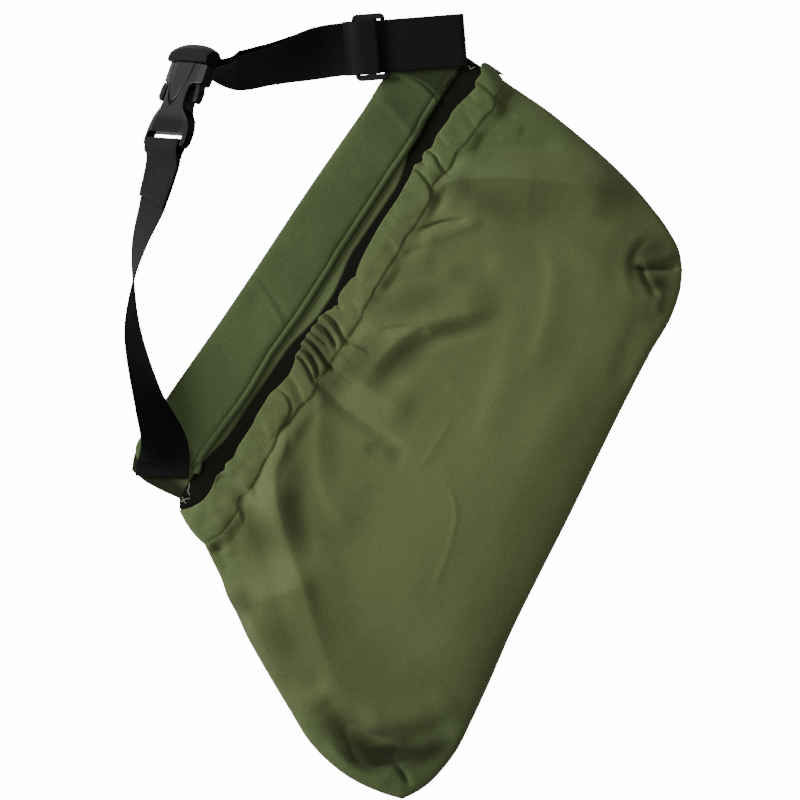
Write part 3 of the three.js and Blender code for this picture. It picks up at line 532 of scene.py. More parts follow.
PANEL_FOLDS = [
    # the long fold from the hem to the lower left corner, and the rise beside it
    ([(-46, 20), (-92, -16), (-116, -33), (-143, -48), (-161, -66), (-176, -85), (-189, -103), (-206, -124),
      (-223, -146), (-237, -169), (-252, -208)], (6, 8, 13, 9, 4.5, 3.5), (17, 24, 30, 34, 42),
     (16, 14, 16, 22, 26), 1.6),
    ([(-268, -36), (-242, -64), (-221, -82), (-202, -98), (-180, -114)], (2, 6.5, 7.5, 3), 14, 52, 1.4),
    # the next fold in, curving down from the gathers
    ([(-56, -20), (-82, -45), (-105, -60), (-124, -77), (-132, -95), (-134, -112), (-131, -128)],
     (2, 4, 5, 3.8, 1), (14, 34, 30), (20, 32), 1.2),
    # straight down from the gathers
    ([(-50, -14), (-48, -46), (-47, -75), (-45.5, -96), (-44, -108)],
     (1, 3, 5.5, 4, 0.6), (8, 12, 14), 18, 0.9),
    ([(-58, -18), (-64.5, -38), (-67.3, -58), (-67.8, -90), (-69.5, -116)], (-3.2, -4.4, -4, -1.6), 3.4, 7),
    ([(-85, -84), (-79, -95), (-75, -106), (-71, -116)], (-0.4, -1.8, -2.2, -1), 4, 8),
    ([(-51, -24), (-50.5, -44), (-51, -60)], (-1.4, -0.8), 1.3, 1.3),
    ([(-28.5, -24), (-26.8, -40), (-25, -54)], (-3.2, -2.4), 1.3, 1.1),
    ([(-39, -26), (-37, -48)], (-1.5, -0.8), 2, 2),
    # the arched fold to the right of the gathers
    ([(-58, -50), (-38, -57), (-20, -59.5), (-4, -63), (10, -70), (26, -82), (42, -97), (58, -114)],
     (1, 5, 6.5, 6.2, 5.2, 3), (44, 34), (10, 12, 12), 1.4),
    ([(-60, -104), (-42, -93), (-28, -86), (-16, -83), (-6, -86), (12, -99), (32, -117), (54, -134)],
     (0.4, 1.4, 2, 1.7, 1), 12, (34, 46, 34), 2),
    ([(-12, -46), (-2, -56), (6, -66), (11, -80)], (-1.8, -2.2), 3, 3),
    ([(8, -22), (30, -43), (46, -60), (66, -84)], (-2.6, -3, -2), 8, 10),
    ([(62, -26), (72, -34), (82, -42), (93, -56)], (-1.8, -2.8, -2.4), 1.5, 2.2),
    ([(60, -34), (80, -50), (100, -66)], (2.4, 1.6), 6, 5),
    ([(50, -44), (68, -66), (80, -92)], (-1.6, -1.6), 8, 12),
    # from the right part of the hem
    ([(92, -12), (107, -27), (119, -40), (133, -59), (145, -80), (158, -104), (168, -128), (175, -152)],
     (8, 14, 15, 12, 5), (14, 22), (24, 30, 26), 0.8),
    ([(132, -22), (146, -44), (162, -66), (176, -84)], (-3, -2.4), 8, 6),
    ([(80, -25), (92, -29), (101, -31), (112, -28)], (-3.4, -3.4), 5, 6),
    ([(160, -24), (164, -38), (168, -54)], (1.6, 1), 5, 5),
    # short puckers below the stitched line
    ([(-150, -30), (-154, -40), (-160, -50)], (-1.4, -0.8), 2.4, 4),
    ([(-98, -28), (-106, -36), (-116, -42)], (-1.4, -0.8), 2.2, 3.4),
    ([(4, -26), (10, -36), (18, -46)], (-1.3, -0.8), 2.2, 3.6),
    ([(40, -24), (50, -34), (60, -42)], (-1.2, -0.8), 2.2, 3.6),
    ([(146, -20), (150, -32), (156, -44)], (-1.4, -0.8), 2.2, 3.6),
    ([(174, -20), (172, -32), (174, -44)], (-1.2, -0.6), 2.2, 3.6),
    # faint ones across the middle and the left
    ([(-40, -152), (10, -140), (66, -120)], (0.9, 1), 8, 14),
    ([(12, -154), (44, -150), (78, -138), (102, -122), (116, -94)], (0.7, 1.2, 1.4, 0.8), 6, 12),
    ([(-70, -136), (-73, -150), (-84, -165), (-108, -176), (-150, -186)], (0.35, 0.45, 0.35), 2.4, 1.8),
    ([(-80, -126.5), (-58, -127), (-30, -126)], (0.35, 0.3), 1.8, 2.4),
    ([(-196, -36), (-207, -44), (-214, -56)], (-1.4, -1.2), 4, 4),
    ([(-190, -38), (-205, -50)], (1.4, 1.2), 5, 5),
    ([(-266, -112), (-256, -134), (-246, -152), (-236, -160)], (-2.6, -3), 9, 11),
    ([(-40, -190), (10, -186), (60, -194)], (0.8, 0.6), 12, 18),
    ([(50, -212), (84, -202), (120, -194)], (-1.2, -1.2), 7, 9),
    # the right dart: a hooked hollow with arched folds round it
    ([(154, -206), (142, -190), (136, -181), (131, -171)], (-4, -5, -5), 1.7, 1.7),
    ([(138, -174), (132, -182), (127, -192), (123, -203)], (-3.6, -3.4, -2), 2.2, 3.4),
    ([(124, -184), (131, -173), (141, -168.5), (158, -171)], (-0.8, -1, -0.4), 3, 2.4),
    ([(110, -192), (118, -176), (129, -166), (143, -162.5), (162, -167)], (0.6, 1, 0.8), 5.5, 4),
    ([(135, -173), (145, -183), (160, -197)], (2.6, 3, 2), 4, 4),
    ([(130, -196), (112, -207)], (1.6, 1.2), 4, 4),
    # the left dart: a deep hollow inside the rounded corner
    ([(-247, -154), (-253, -169), (-256, -186), (-257, -206), (-253, -232)], (-1, -6, -12, -15, -13),
     (10, 9, 7), (12, 18)),
    ([(-274, -204), (-264, -219), (-259.5, -230), (-262, -241), (-269, -252)], (-6, -5, -4), 1.8, 2.2),
    ([(-276, -198), (-261, -217), (-247, -230), (-232, -242), (-208, -256)], (-7, -8, -5, -1.8), (9, 14),
     (7, 12)),
    ([(-252, -190), (-238, -212), (-220, -230), (-194, -246)], (3, 2), 12, 9),
    ([(-276, -180), (-279, -208), (-275, -240)], (3, 2.4), 4, 5),
]


def along(values, share):
    """A number, or numbers spread evenly along, read at each share."""
    values = np.atleast_1d(np.asarray(values, float))
    return np.interp(share, np.linspace(0, 1, len(values)), values)


def folded(x, y, folds, run_on=0.0):
    """Summed height of the folds at x, y, each carried on that far past its ends."""
    total = np.zeros(x.shape)
    for places, height, left, right, *crest in folds:
        line = even(places, 6 * len(places), 200)
        if run_on:
            start, stop = unit(line[0] - line[1]) * run_on, unit(line[-1] - line[-2]) * run_on * 0.6
            line = np.vstack([line[0] + start, line, line[-1] + stop])
        d, share = near_line(x, y, line)
        round_off = crest[0] if crest else 0
        reach = np.where(d < 0, along(left, share), along(right, share))
        soft = np.exp(-(d / reach) ** 2)
        away = 1 - (np.sqrt(d * d + round_off ** 2) - round_off) / reach
        keen = (away + np.sqrt(away ** 2 + 0.05)) / 2.0247
        ends = smooth(np.minimum(share, 1 - share) * 4.5)
        total += along(height, share) * ends * (keen if crest else soft)
    return total


def inset(x, y):
    """Distance in from the sewn sides and bottom."""
    edge = np.vstack([even(LEFT, 40), even(BOTTOM, 70)[1:], even(RIGHT, 40)[::-1][1:]])
    d, _ = near_line(x, y, edge)
    return np.abs(d)


def plump(d, radius):
    t = 1 - np.clip(d / radius, 0, 1)
    return np.sqrt(np.maximum(1 - t * t, 0))


def from_sides(x, y):
    """Distance in from the ends of the mouth, which widens a little below its edge."""
    left = x - np.interp(y, [-31, -22, -12, -4, 0], [-207.4, -205.6, -203.4, -200, -196.8])
    right = np.interp(y, [-25, -15, -8, 0], [190.9, 192.2, 194, 194.8]) - x
    return np.minimum(left, right)


def mouth_lift(x, y=-8.0):
    """How far the hem's underside stands off the back panel."""
    wave = 10.4 + 1.2 * np.cos((x + 140) / 30)
    wave = wave - 3.6 * np.exp(-((x + 36) / 36) ** 2)
    return wave * plump(from_sides(x, y), 30)


def hill(x, y, middle, radii):
    return np.exp(-((x - middle[0]) / radii[0]) ** 2 - ((y - middle[1]) / radii[1]) ** 2)


def panel_height(x, y):
    """Height of the front panel's upper face."""
    below = smooth(-y, 20, 95)
    broad = 17.0 - 5.0 * smooth(x, -40, 190) + 2.5 * hill(x, y, (-90, -120), (70, 60))
    from_bottom = y - np.interp(x, *np.array(BOTTOM, float).T)
    broad = broad * (0.7 + 0.3 * smooth(from_bottom, -10, 90)) - 6.0 * smooth(-x, 150, 235)
    at_hem = mouth_lift(x) + 1.6
    loft = at_hem + (broad - at_hem) * below
    low = folded(x, y, PANEL_FOLDS)
    soft = 1.1 * value_noise(x, y, 62, 3) + 0.45 * value_noise(x, y, 24, 4) + 0.12 * value_noise(x, y, 9, 5)
    d = inset(x, y)
    shape = plump(d, 46 - 20 * smooth(-x, 160, 230))
    hold = smooth(-y, 27, 50)
    low = low - 5.5 * hill(x, y, (118, -112), (34, 36)) - 6.5 * hill(x, y, (-176, -76), (18, 24))
    return 2.4 + (loft - 1.4) * shape + (low * smooth(d, 0, 9)) + soft * shape * (0.4 + 0.6 * hold)


def patch(u, v, top):
    """Plan places on the patch between the hem line, the sides and the bottom."""
    fine = np.linspace(0, 1, 400)
    left, right = (read(v, fine, even(places, len(fine))) for places in (LEFT, RIGHT))
    bottom = read(u, fine, even(BOTTOM, len(fine)))
    u, v = u[..., None], v[..., None]
    corners = np.array([LEFT[0], RIGHT[0], BOTTOM[0], BOTTOM[-1]], float)
    mix = (1 - v) * ((1 - u) * corners[0] + u * corners[1]) + v * ((1 - u) * corners[2] + u * corners[3])
    return (1 - u) * left + u * right + (1 - v) * top + v * bottom - mix


def hem_columns():
    """Places along the mouth, closer together at the gathers."""
    x = np.concatenate([np.arange(-196, -76, 1.0), np.arange(-76, -12, 0.5), np.arange(-12, 194.1, 1.0)])
    return (x + 196) / (x[-1] + 196)


LINE_LEFT, LINE_SPAN = -206.3, 396.6
MOUTH_LEFT, MOUTH_SPAN = -196.3, 390.5
LOWEST = 1.7  # the front canvas's middle is nowhere lower than this
HEM_STEPS = 34
# The hem's edge turned in under itself: how far in from its edge, and how much lower or higher.
NOSE = [(14.0, -0.6), (7.0, -0.9), (3.0, -0.7), (1.0, -0.2), (0.1, 0.7)]


def front_canvas():
    """The front panel and its hem, from under the hem's edge, over it, and down to the bottom corners."""
    share = hem_columns()
    top_x = MOUTH_LEFT + share * MOUTH_SPAN
    line_x = LINE_LEFT + share * LINE_SPAN
    fine = np.linspace(0, 1, 1500)
    edge, line = catmull(MOUTH_EDGE, fine), catmull(HEM_LINE, fine)
    top_y = np.interp(top_x, edge[:, 0], edge[:, 1]) - 0.8
    line_y = np.interp(line_x, line[:, 0], line[:, 1])
    t = np.linspace(0, 1, HEM_STEPS)[None, :]
    x = top_x[:, None] * (1 - t) + line_x[:, None] * t
    y = top_y[:, None] * (1 - t) + line_y[:, None] * t
    x = x - 1.9 * np.sin(np.pi * t) * smooth(-x, 184, 197) + 0.6 * np.sin(np.pi * t) * smooth(x, 182, 192)
    arch = 2.2 + 2.5 * np.sin(np.pi * np.clip(t * 0.66 + 0.1, 0, 1)) ** 0.6
    arch = arch * (0.92 + 0.14 * value_noise(x, y, 17, 8)) - 0.8 * np.exp(-((1 - t) * 24 / 1.2) ** 2)
    low = folded(x, y, RUFFLES + HEM_FOLDS, 8)
    small = 0.4 * value_noise(x, y, 7, 9) + 0.8 * value_noise(x, y, 15, 10)
    at_sides = 0.3 + 0.7 * plump(from_sides(x, y), 9)
    z = 1.2 + mouth_lift(x, y) + (arch + low * (1 - 0.2 * t) + small) * at_sides
    nose = []
    for back, drop in NOSE:
        height = 2.0 + mouth_lift(top_x) + drop + 0.55 * low[:, 0]
        nose.append(np.stack([top_x, top_y - back, height], axis=1))
    hem = np.stack([x, y, z], axis=2)
    v = np.concatenate([np.linspace(0, 0.22, 52)[1:], np.linspace(0.22, 1, 118)[1:]])
    uu, vv = np.meshgrid(share, v, indexing="ij")
    top = np.stack([line_x, line_y], axis=1)[:, None, :] * np.ones((1, len(v), 1))
    plan = patch(uu, vv, top)
    below = panel_height(plan[..., 0], plan[..., 1])
    join = smooth(line_y[:, None] - plan[..., 1], 0, 9)
    below = z[:, -1:] * (1 - join) + below * join
    panel = np.concatenate([plan, below[..., None]], axis=2)
    points = np.concatenate([np.stack(nose, axis=1), hem, panel], axis=1)
    points[..., 2] = np.maximum(points[..., 2], LOWEST)
    return points


FRONT = front_canvas()
front = grid("front_canvas", FRONT)
thicken(front, 0.8)
finish_piece(front, CANVAS, "pouch", "canvas", "front_panel", "front_hem", "hem_elastic")


BAND_EDGE = [
    (-190, 2), (-178, 4), (-165, 5.5), (-155, 6), (-130, 5), (-110, 4), (-95, 4), (-80, 5), (-65, 6),
    (-50, 5.5), (-30, 5), (-10, 5.5), (10, 6), (20, 7), (60, 7.5), (90, 8), (115, 8), (125, 8.5), (135, 10),
    (150, 10.5), (190, 10.5)
]


def band_edge(x):
    return np.interp(x, *np.array(BAND_EDGE, float).T)


BAND_FOLDS = [
    ([(-26, 56), (-34, 32), (-46, 6)], 0.9, 1.8, 2.2),
    ([(-23, 56), (-31, 32), (-43, 6)], -0.5, 2.0, 2.0),
    ([(66, 58), (64, 30), (67, 2)], 0.5, 2.5, 2.5),
    ([(129, 56), (127, 32), (119, 6)], 1.3, 6.0, 2.2),
    ([(-110, 49), (-104, 30), (-108, 12)], 0.4, 4.0, 4.0),
    ([(10, 49), (6, 30)], 0.35, 3.0, 3.0),
]


def back_canvas():
    """The back panel, up to the folded top of the band."""
    share = np.linspace(0, 1, 200)
    v = np.linspace(0, 1, 110)
    uu, vv = np.meshgrid(share, v, indexing="ij")
    line = np.stack([LINE_LEFT + share * LINE_SPAN, -30 + share * 7], axis=1)
    plan = patch(uu, vv, line[:, None, :] * np.ones((1, len(v), 1)))
    upper = []
    for y in np.linspace(51.2, 0, 26):
        left = np.interp(y, [0, 4, 20, 36, 52], [-195, -189.4, -191.8, -193.3, -192])
        x = left + share * (189.8 - left)
        pulled_in = y - 6.5 * np.clip((-165 - x) / 24.5, 0, 1.2) ** 2 * y / 52
        upper.append(np.stack([x, pulled_in], axis=1))
    joins = np.arange(1, 12) / 12
    between = [upper[-1] * (1 - join) + plan[:, 0] * join for join in joins]
    flat = np.concatenate([np.stack(upper + between, axis=1), plan], axis=1)
    z = 0.55 + 0.25 * smooth(value_noise(flat[..., 0], flat[..., 1], 30, 12))
    return np.concatenate([flat, z[..., None]], axis=2)


back = grid("back_canvas", back_canvas())
thicken(back, 0.8)
finish_piece(back, BACK, "pouch", "canvas", "back_panel")


# The band's lower edge (how far above its stitched side, and height), and its folded top edge.
BAND_LOW_EDGE = [
    (0.3, 1.5), (-0.4, 2.2), (0.1, 3.2), (1.0, 3.9), (2.3, 4.25), (3.6, 4.1), (4.2, 3.7), (4.9, 4.15),
    (6.0, 4.6), (7.5, 4.9)
]
BAND_TOP_EDGE = [(-1.8, 4.7), (-0.6, 3.9), (0.1, 2.8), (0.3, 1.6), (0.1, 0.7), (-0.8, 0.35)]
BAND_STEPS = 22


def band_points():
    x = np.concatenate([np.arange(-189, 110, 2.0), np.arange(110, 189.6, 1.2)])
    edge = band_edge(x)
    top = 50.9 + 0.5 * np.sin(x / 31) + 1.2 * np.exp(-((x - 140) / 14) ** 2)
    top = top - 9 * smooth(-x, 166, 190) ** 2
    rows = [(edge + dy, z) for dy, z in BAND_LOW_EDGE]
    for k in range(1, BAND_STEPS):
        f = k / BAND_STEPS
        rows.append(((edge + 7.5) * (1 - f) + (top - 3) * f, 4.95 + 0.35 * np.sin(np.pi * f)))
    rows += [(top + dy, z) for dy, z in BAND_TOP_EDGE]
    points = np.stack([np.stack([x, y, np.full(len(x), z)], axis=1) for y, z in rows], axis=1)
    px, py = points[..., 0], points[..., 1]
    inside = smooth(py, 9, 15) * smooth(-py, -49.5, -44)
    small = 0.5 * value_noise(px, py, 40, 21) + 0.25 * value_noise(px, py, 13, 22)
    wave = folded(px, py, BAND_FOLDS) + small
    end_line = px - TUNNEL_END_X + TUNNEL_END_CURVE * (py - TUNNEL_END_Y) ** 2
    step = smooth(end_line, -1.0, 1.2) - 0.2 * np.exp(-((end_line + 2.4) / 1.8) ** 2)
    under_strap = 1 - smooth(px, -178, -150)
    points[..., 2] += wave * inside * (1 - under_strap)
    points[..., 2] = 1.2 + (points[..., 2] - 1.2) * (1 - 0.5 * step - 0.48 * under_strap)
    points[..., 2] += 0.12 * value_noise(px, py, 8, 23) * smooth(points[..., 2], 1.5, 3)
    start = -182.5 + (35 - py) * 0.467
    stop = 177 + (py - 8) * 0.32
    near_left, near_right = 1 - smooth(px, -189, -150), smooth(px, 140, 189)
    points[..., 0] += (start + 189) * near_left + (stop - 189.2) * near_right
    return points


band = grid("band_canvas", band_points())
thicken(band, 0.8)
finish_piece(band, BAND, "pouch", "canvas", "waistband")

# ---- Straps ----

UP = np.array([0.0, 0.0, 1.0])
WEB, THICK = 38.0, 1.4  # the webbing's width and thickness


def turned(v, axis, degrees):
    """Each vector turned about its own unit axis."""
    a = np.radians(degrees)[:, None]
    along = np.sum(v * axis, axis=1)[:, None] * axis
    return v * np.cos(a) + np.cross(axis, v) * np.sin(a) + along * (1 - np.cos(a))


def frames_along(stations, count):
    """Frames (point, along, across, gap) evenly spread over the stations."""
    rows = [list(s) + [0] * (6 - len(s)) for s in stations]
    data = np.array(rows, float)
    t = np.linspace(0, 1, count)
    point = catmull(data[:, :3], t)
    nearby = 1e-4
    ahead = catmull(data[:, :3], np.minimum(t + nearby, 1))
    behind = catmull(data[:, :3], np.maximum(t - nearby, 0))
    along = unit(ahead - behind)
    turn = catmull(data[:, 3:], t)
    across = turned(unit(np.cross(UP, along)), along, turn[:, 0])
    hold = np.clip(turn[:, 2], 0, 1)[:, None]
    across = unit(across * (1 - hold) - Y_WAY * hold)
    return {"p": point, "t": along, "a": across, "gap": turn[:, 1]}


def normals(f):
    return unit(np.cross(f["t"], f["a"]))


def shifted(f, distance):
    distance = np.broadcast_to(np.asarray(distance, float), (len(f["p"]),))[:, None]
    return {**f, "p": f["p"] + normals(f) * distance}


def backwards(f):
    return {"p": f["p"][::-1], "t": -f["t"][::-1], "a": f["a"][::-1], "gap": f["gap"][::-1]}


def cut(f, start, end=None):
    return {k: v[start:end] for k, v in f.items()}


def joined(*parts):
    return {k: np.concatenate([part[k] for part in parts]) for k in ("p", "t", "a", "gap")}


def bend(f, radius, side, degrees):
    """Carries the last frame round a bend."""
    steps = 14
    last = cut(f, -1)
    n = normals(last)[0]
    t, p, a = last["t"][0], last["p"][0], last["a"][0]
    centre = p + n * side * radius
    angle = np.radians(degrees) * (np.arange(steps) + 1)[:, None] / steps
    point = centre - n * side * radius * np.cos(angle) + t * radius * np.sin(angle)
    along = t * np.cos(angle) + n * side * np.sin(angle)
    return {"p": point, "t": along, "a": np.repeat(a[None], steps, 0), "gap": np.zeros(steps)}


def onward(f, distance):
    """Carries the last frame straight on."""
    steps = 3
    last = cut(f, -1)
    d = np.linspace(0, distance, steps + 1)[1:, None]
    return {"p": last["p"] + last["t"] * d, "t": np.repeat(last["t"], steps, 0),
            "a": np.repeat(last["a"], steps, 0), "gap": np.zeros(steps)}


RIBS = 21
STEPS = 6


def web_section(width, thick):
    """Closed outline of the webbing's section: ribs on both faces and rounded selvedges."""
    s = np.linspace(-1, 1, RIBS * STEPS + 1)
    rib = 0.16 * (1 - np.abs(np.sin(np.pi * RIBS * (s + 1) / 2)) ** 0.6)
    half = thick / 2 * np.sqrt(np.clip(1 - np.abs(s) ** 40, 0.02, 1)) - rib * (np.abs(s) < 0.985)
    top = np.stack([s * width / 2, half], axis=1)
    low = np.stack([s[::-1] * width / 2, -half[::-1]], axis=1)
    return np.concatenate([top, low])


def strap(name, f, width):
    """A closed band of webbing along the frames."""
    section = web_section(width, THICK)
    n = normals(f)
    run = run_along(f["p"])
    points = (f["p"][:, None] + f["a"][:, None] * section[None, :, :1] + n[:, None] * section[None, :, 1:])
    uv = np.stack(np.broadcast_arrays(run[:, None], section[None, :, 0]), axis=2)
    obj = grid(name, points, close_v=True, uv=uv)
    mesh = obj.data
    count = len(section)
    ends = [list(range(count))[::-1], [len(mesh.vertices) - count + k for k in range(count)]]
    work = bmesh.new()
    work.from_mesh(mesh)
    work.verts.ensure_lookup_table()
    for ring in ends:
        work.faces.new([work.verts[k] for k in ring])
    bmesh.ops.recalc_face_normals(work, faces=work.faces)
    work.to_mesh(mesh)
    work.free()
    return obj


def web(name, f, body, node, width=WEB):
    return finish_piece(strap(name, f, width), WEBBING, body, "webbing", node)


# A station is x, y, z, its turn about the way along (degrees), the gap to the layer that comes back, and how
# far its face is held to the buckle's (0 to 1).
FOLD_Z = 5.1
SPAN = 20
LEFT_STATIONS = [
    [*on_buckle(-36, 0, 0), 52, 0, 1], [*on_buckle(-42, 0, -1.2), 52, 0, 0.8], [1, 147.6, 29.6, 53, 0, 0.2],
    [-24, 139.3, 23.6, 58], [-54, 130.4, 20.2, 72], [-81, 117, 19.6, 90], [-108, 99, 19.3, 106],
    [-143, 61, 21.4, 123], [-160, 38.5, 16.6, 146], [-171.5, 29.3, 9.6, 168], [-178.5, 26.1, FOLD_Z, 180],
    [-182.2, 23.9, FOLD_Z, 180]
]
left_run = frames_along(LEFT_STATIONS, (len(LEFT_STATIONS) - 1) * SPAN + 1)
SEWN = 3 * SPAN
LOOP_RADIUS, SEWN_RADIUS = 3.6, 0.95  # from the belt's route to its two layers: round the bar, and where sewn
opening = 1 - smooth(np.arange(SEWN + 1) / SPAN, 0.6, 1.6)
spread = SEWN_RADIUS + (LOOP_RADIUS - SEWN_RADIUS) * opening
sewn = cut(left_run, 0, SEWN + 1)
upper = shifted(sewn, spread)
lower = shifted(sewn, -spread)
inward = backwards(upper)
socket_end = joined(inward, bend(inward, LOOP_RADIUS, 1, 180), cut(lower, 1))
web("belt_socket_loop", socket_end, "socket", "belt_socket_end")

rest = cut(left_run, SEWN)
rest = shifted(rest, -SEWN_RADIUS * (1 - smooth(np.arange(len(rest["p"])) / (2 * SPAN))))
turn_radius = (FOLD_Z - 2.0) / 2
around = bend(rest, turn_radius, 1, 180)
left_strap = web("belt_left", joined(rest, around, onward(around, 3.5)), None, "belt_left_strap")
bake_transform(left_strap)

RUN_Z = 7.3
RIGHT_SPAN = 16
START = np.array([197.3, 21.4, RUN_Z])
WAY = unit(np.array([-0.625, 0.7806, 0.0]))


def right_run_at(d):
    return [*(START + WAY * d), 180, 1.7]


RIGHT_STATIONS = [
    right_run_at(0), right_run_at(40), right_run_at(78), right_run_at(84), [134.5, 98.6, 8.9, 168, 1.9],
    [119.8, 112.7, 13.1, 146, 2.6], [104.8, 127.6, 16.8, 132, 4.6], [90.6, 142.2, 18.6, 128, 5.4],
    [84.6, 156, 19, 112, 5.8, 0.5], [*on_buckle(33.9, 0, -8), 92, 5.8, 1],
    [*on_buckle(33.9, 0, -4), 90, 5.8, 1], [*on_buckle(33.9, 0, 0), 90, 5.8, 1]
]
right_run = frames_along(RIGHT_STATIONS, (len(RIGHT_STATIONS) - 1) * RIGHT_SPAN + 1)
begin = backwards(right_run)
fold = bend(begin, (RUN_Z - 2.0) / 2, -1, 180)
leg = onward(fold, 5)
tip = bend(right_run, 2.9, -1, 172)
right = joined(backwards(joined(fold, leg)), right_run, tip)
web("belt_right", right, "pouch", "belt_right_strap")

coming = cut(right_run, 3 * RIGHT_SPAN)
return_strap = web("belt_return", shifted(coming, -coming["gap"]), None, "belt_return_strap")
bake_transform(return_strap)

hidden_run = frames_along([[-172, 28.6, 2], [60, 29, 2], [130, 30.5, 2], [176, 31.8, 2]], 60)
web("belt_in_tunnel", hidden_run, "pouch", "belt_tunnel_run", width=36.5)

STITCH_SIDES = 6
STITCH_SHAPE = [(0, 0.15, -0.45), (0.12, 0.8, 0.0), (0.5, 1.0, 0.25), (0.88, 0.8, 0.0), (1, 0.15, -0.45)]


def stitches(name, line, pitch, length, radius, material, *nodes, body="pouch", slot="thread", face=UP):
    """Short threads laid end to end along a line on a surface that faces that way."""
    run = run_along(line)
    verts, faces = [], []
    sides = range(STITCH_SIDES)
    for begins in np.arange(pitch / 2, run[-1] - length, pitch):
        a, b = read(np.array([begins, begins + length]), run, line)
        way = unit(b - a)
        side = unit(np.cross(face, way))
        up = np.cross(way, side)
        base = len(verts)
        for share, swell, rise in STITCH_SHAPE:
            middle = a + (b - a) * share + up * rise * radius
            for k in sides:
                angle = 2 * math.pi * k / STITCH_SIDES
                verts.append((middle + radius * swell * (side * math.cos(angle) + up * math.sin(angle))) * MM)
        for ring in range(len(STITCH_SHAPE) - 1):
            m = base + ring * STITCH_SIDES
            for k in sides:
                after = (k + 1) % STITCH_SIDES
                faces.append((m + k, m + after, m + STITCH_SIDES + after, m + STITCH_SIDES + k))
        last = base + (len(STITCH_SHAPE) - 1) * STITCH_SIDES
        faces.append(tuple(base + k for k in reversed(sides)))
        faces.append(tuple(last + k for k in sides))
    mesh = rounded_mesh(name, [tuple(v) for v in verts], faces)
    return finish_piece(link(name, mesh), material, body, slot, *nodes)


def on_front(places, rise):
    """Places on the front panel's upper face."""
    flat = even(places, 60)
    z = np.maximum(panel_height(flat[:, 0], flat[:, 1]), LOWEST) + rise
    return np.column_stack([flat, z])


HEM_ROW = len(NOSE) + HEM_STEPS - 1
stitches("hem_thread", FRONT[:, HEM_ROW] + [0, 0.3, 0.45], 3.1, 2.5, 0.3, THREAD, "hem_stitching")
band_x = np.linspace(-168, 172, 400)
band_line = np.column_stack([band_x, band_edge(band_x) + 4.2, np.full(len(band_x), 3.75)])
stitches("band_thread", band_line, 3.0, 2.4, 0.3, THREAD, "band_stitching")
for side, x, node in (("left", -168, "corner_stitch_left"), ("right", 163, "corner_stitch_right")):
    zigzag = np.array([[x + k * 0.9, band_edge(x) + 2.4 + (0.9 if k % 2 else -0.9), 3.6] for k in range(10)])
    stitches(f"bar_tack_{side}", zigzag, 1.0, 1.3, 0.28, THREAD, node)
left_dart = on_front([(-268, -246), (-262, -238), (-259.5, -228), (-264, -219)], 0.3)
right_dart = on_front([(149, -200), (142, -190), (136.5, -181.5)], 0.3)
stitches("dart_seam_left", left_dart, 2.6, 2.0, 0.28, THREAD, "dart_left")
stitches("dart_seam_right", right_dart, 2.6, 2.0, 0.28, THREAD, "dart_right")

# The box stitch on the sewn loop: two sides, the two lines of its cross, and two ends.
BOX_START, BOX_END, BOX_HALF = 2 * SPAN + 2, SEWN - 1, 15
OFF_FACE = THICK / 2 + 0.12
box = shifted(cut(left_run, BOX_START, BOX_END), spread[BOX_START:BOX_END] + OFF_FACE)
share_along = np.linspace(-1, 1, len(box["p"]))[:, None]
sides = [box["p"] + box["a"] * BOX_HALF * k for k in (-1.0, 1.0, share_along, -share_along)]
rungs = [box["p"][k] + box["a"][k] * np.linspace(-BOX_HALF, BOX_HALF, 20)[:, None] for k in (0, -1)]
for count, line in enumerate(sides + rungs):
    nodes = ("socket_box_stitch",) if count == 0 else ()
    stitches(f"box_stitch_{count}", line, 2.6, 2.1, 0.3, BLACK_THREAD, *nodes, body="socket",
             slot="black_thread", face=normals(box).mean(axis=0))

for count, line in enumerate((
        [(-189.5, 4.5, 5), (-190.5, 1.5, 7), (-187, -0.5, 9), (-184.5, -3, 9)],
        [(-187, 3, 5), (-189, 0, 6), (-189.5, -2.5, 8)],
        [(-176, 4, 5), (-178.5, 2.5, 7), (-181.5, 1.5, 8), (-183, -1.5, 8)],
        [(183, 9, 4), (185, 6.5, 5), (184, 4, 6), (187, 2.5, 7)])):
    stitches(f"frayed_thread_{count}", even(line, 30), 0.5, 0.9, 0.16, PALE_THREAD)

# The belt's sewn end, over the slider's middle bar and back under it: places along from the slider's middle,
# and their heights.
over = catmull(np.array([(18.8, 9.0), (14.5, 9.9), (11.8, 11.3), (8, 12.5), (3, 12.8), (-4, 12.8)], float),
               np.linspace(0, 1, 60))
turn = np.linspace(0, math.pi, 16)[1:, None]
turned_end = np.array([-4, 10.9]) + 1.9 * np.hstack([-np.sin(turn), np.cos(turn)])
under = np.array([(-1, 9.0), (3, 9.0), (8.4, 9.0)])
wrap = np.vstack([over, turned_end, under])
SLIDER_AT = 65.5  # the slider's middle, along from the tunnel
middle = START + WAY * SLIDER_AT
wrap_at = middle * [1, 1, 0] + wrap[:, :1] * WAY + wrap[:, 1:] * UP
wrap_frames = {"p": wrap_at, "t": unit(np.gradient(wrap_at, axis=0)), "gap": np.zeros(len(wrap)),
               "a": np.repeat(np.cross(WAY, UP)[None], len(wrap), 0)}
web("belt_end_at_slider", wrap_frames, "slider", "belt_slider_end", width=39.2)

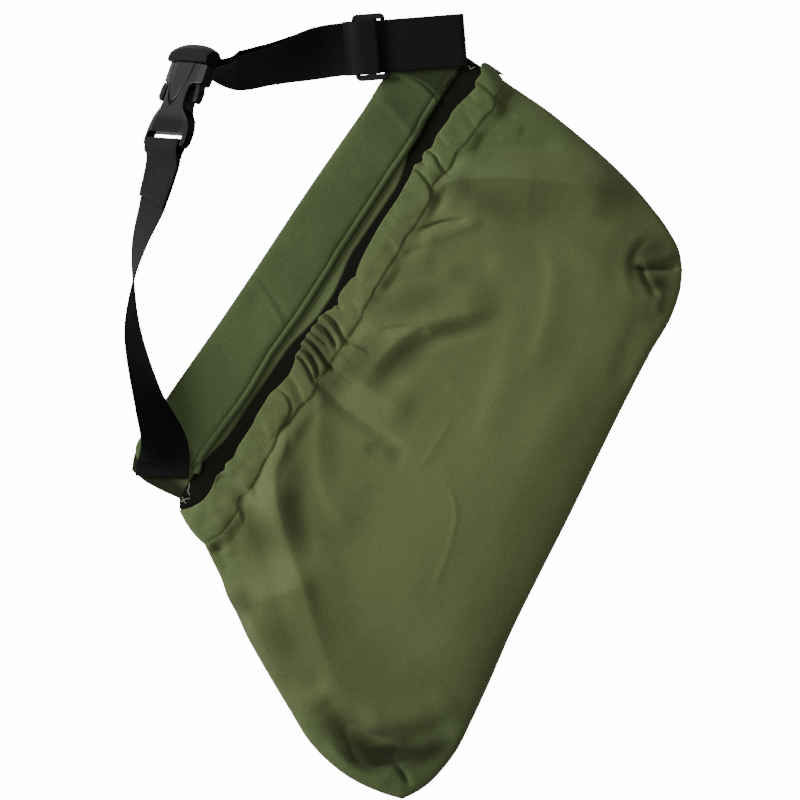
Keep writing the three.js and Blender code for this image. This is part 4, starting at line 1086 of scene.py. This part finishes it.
for node, material in (
        ("slider_frame", PLASTIC), ("buckle_socket", SOCKET), ("buckle_plug", PLUG),
        ("prong_outer", PLASTIC), ("prong_inner", PLASTIC)):
    piece = NODES[node]
    piece.data.materials.clear()
    piece.data.materials.append(material)
    skin = piece.modifiers.new("moulded", "REMESH")
    skin.mode = "VOXEL"
    skin.voxel_size = 0.33 * MM
    skin.use_smooth_shade = True
    edges = piece.modifiers.new("rounded edges", "SMOOTH")
    edges.factor = 0.5
    edges.iterations = 5

# ---- Stage ----

floor_mesh = bpy.data.meshes.new("floor")
floor_mesh.from_pydata([(-6, -6, 0), (6, -6, 0), (6, 6, 0), (-6, 6, 0)], [], [(0, 1, 2, 3)])
floor = link("floor", floor_mesh)
floor.location.z = -0.0003


def floor_white():
    """A white sweep that looks brighter than white, but lights the object as a plain white surface."""
    s = Shader("floor_white")
    seen = s.node("ShaderNodeLightPath").outputs["Is Camera Ray"]
    return s.set(Base_Color=(0.9, 0.9, 0.9), Roughness=0.8, Specular_IOR_Level=0.0,
                 Emission_Color=(1.0, 1.0, 1.0), Emission_Strength=s.math("MULTIPLY", seen, 14.0))


floor_mesh.materials.append(floor_white())

world = bpy.data.worlds.new("studio")
bpy.context.scene.world = world
world.use_nodes = True
background = world.node_tree.nodes["Background"].inputs
background["Color"].default_value = (1, 1, 1, 1)
background["Strength"].default_value = 0.22


def area_light(name, place, target, size, power):
    data = bpy.data.lights.new(name, "AREA")
    data.shape = "RECTANGLE"
    data.size, data.size_y = size
    data.energy = power
    obj = link(name, data)
    obj.location = place
    way = Vector(target) - Vector(place)
    obj.rotation_mode = "QUATERNION"
    obj.rotation_quaternion = way.to_track_quat("-Z", "Y")
    obj.visible_camera = False


area_light("key", (-0.65, 2.0, 1.12), (-0.04, -0.06, 0), (1.15, 0.9), 76)
area_light("top", (-0.5, 0.3, 2.9), (-0.04, -0.06, 0), (1.6, 1.6), 17)

camera_data = bpy.data.cameras.new("camera")
camera_data.lens = 400
camera_data.sensor_width = 36
camera = link("camera", camera_data)
camera.location = (-0.0415, -0.0878, 6.4)
camera.rotation_euler = (0, 0, math.radians(-55.8))
bpy.context.scene.camera = camera
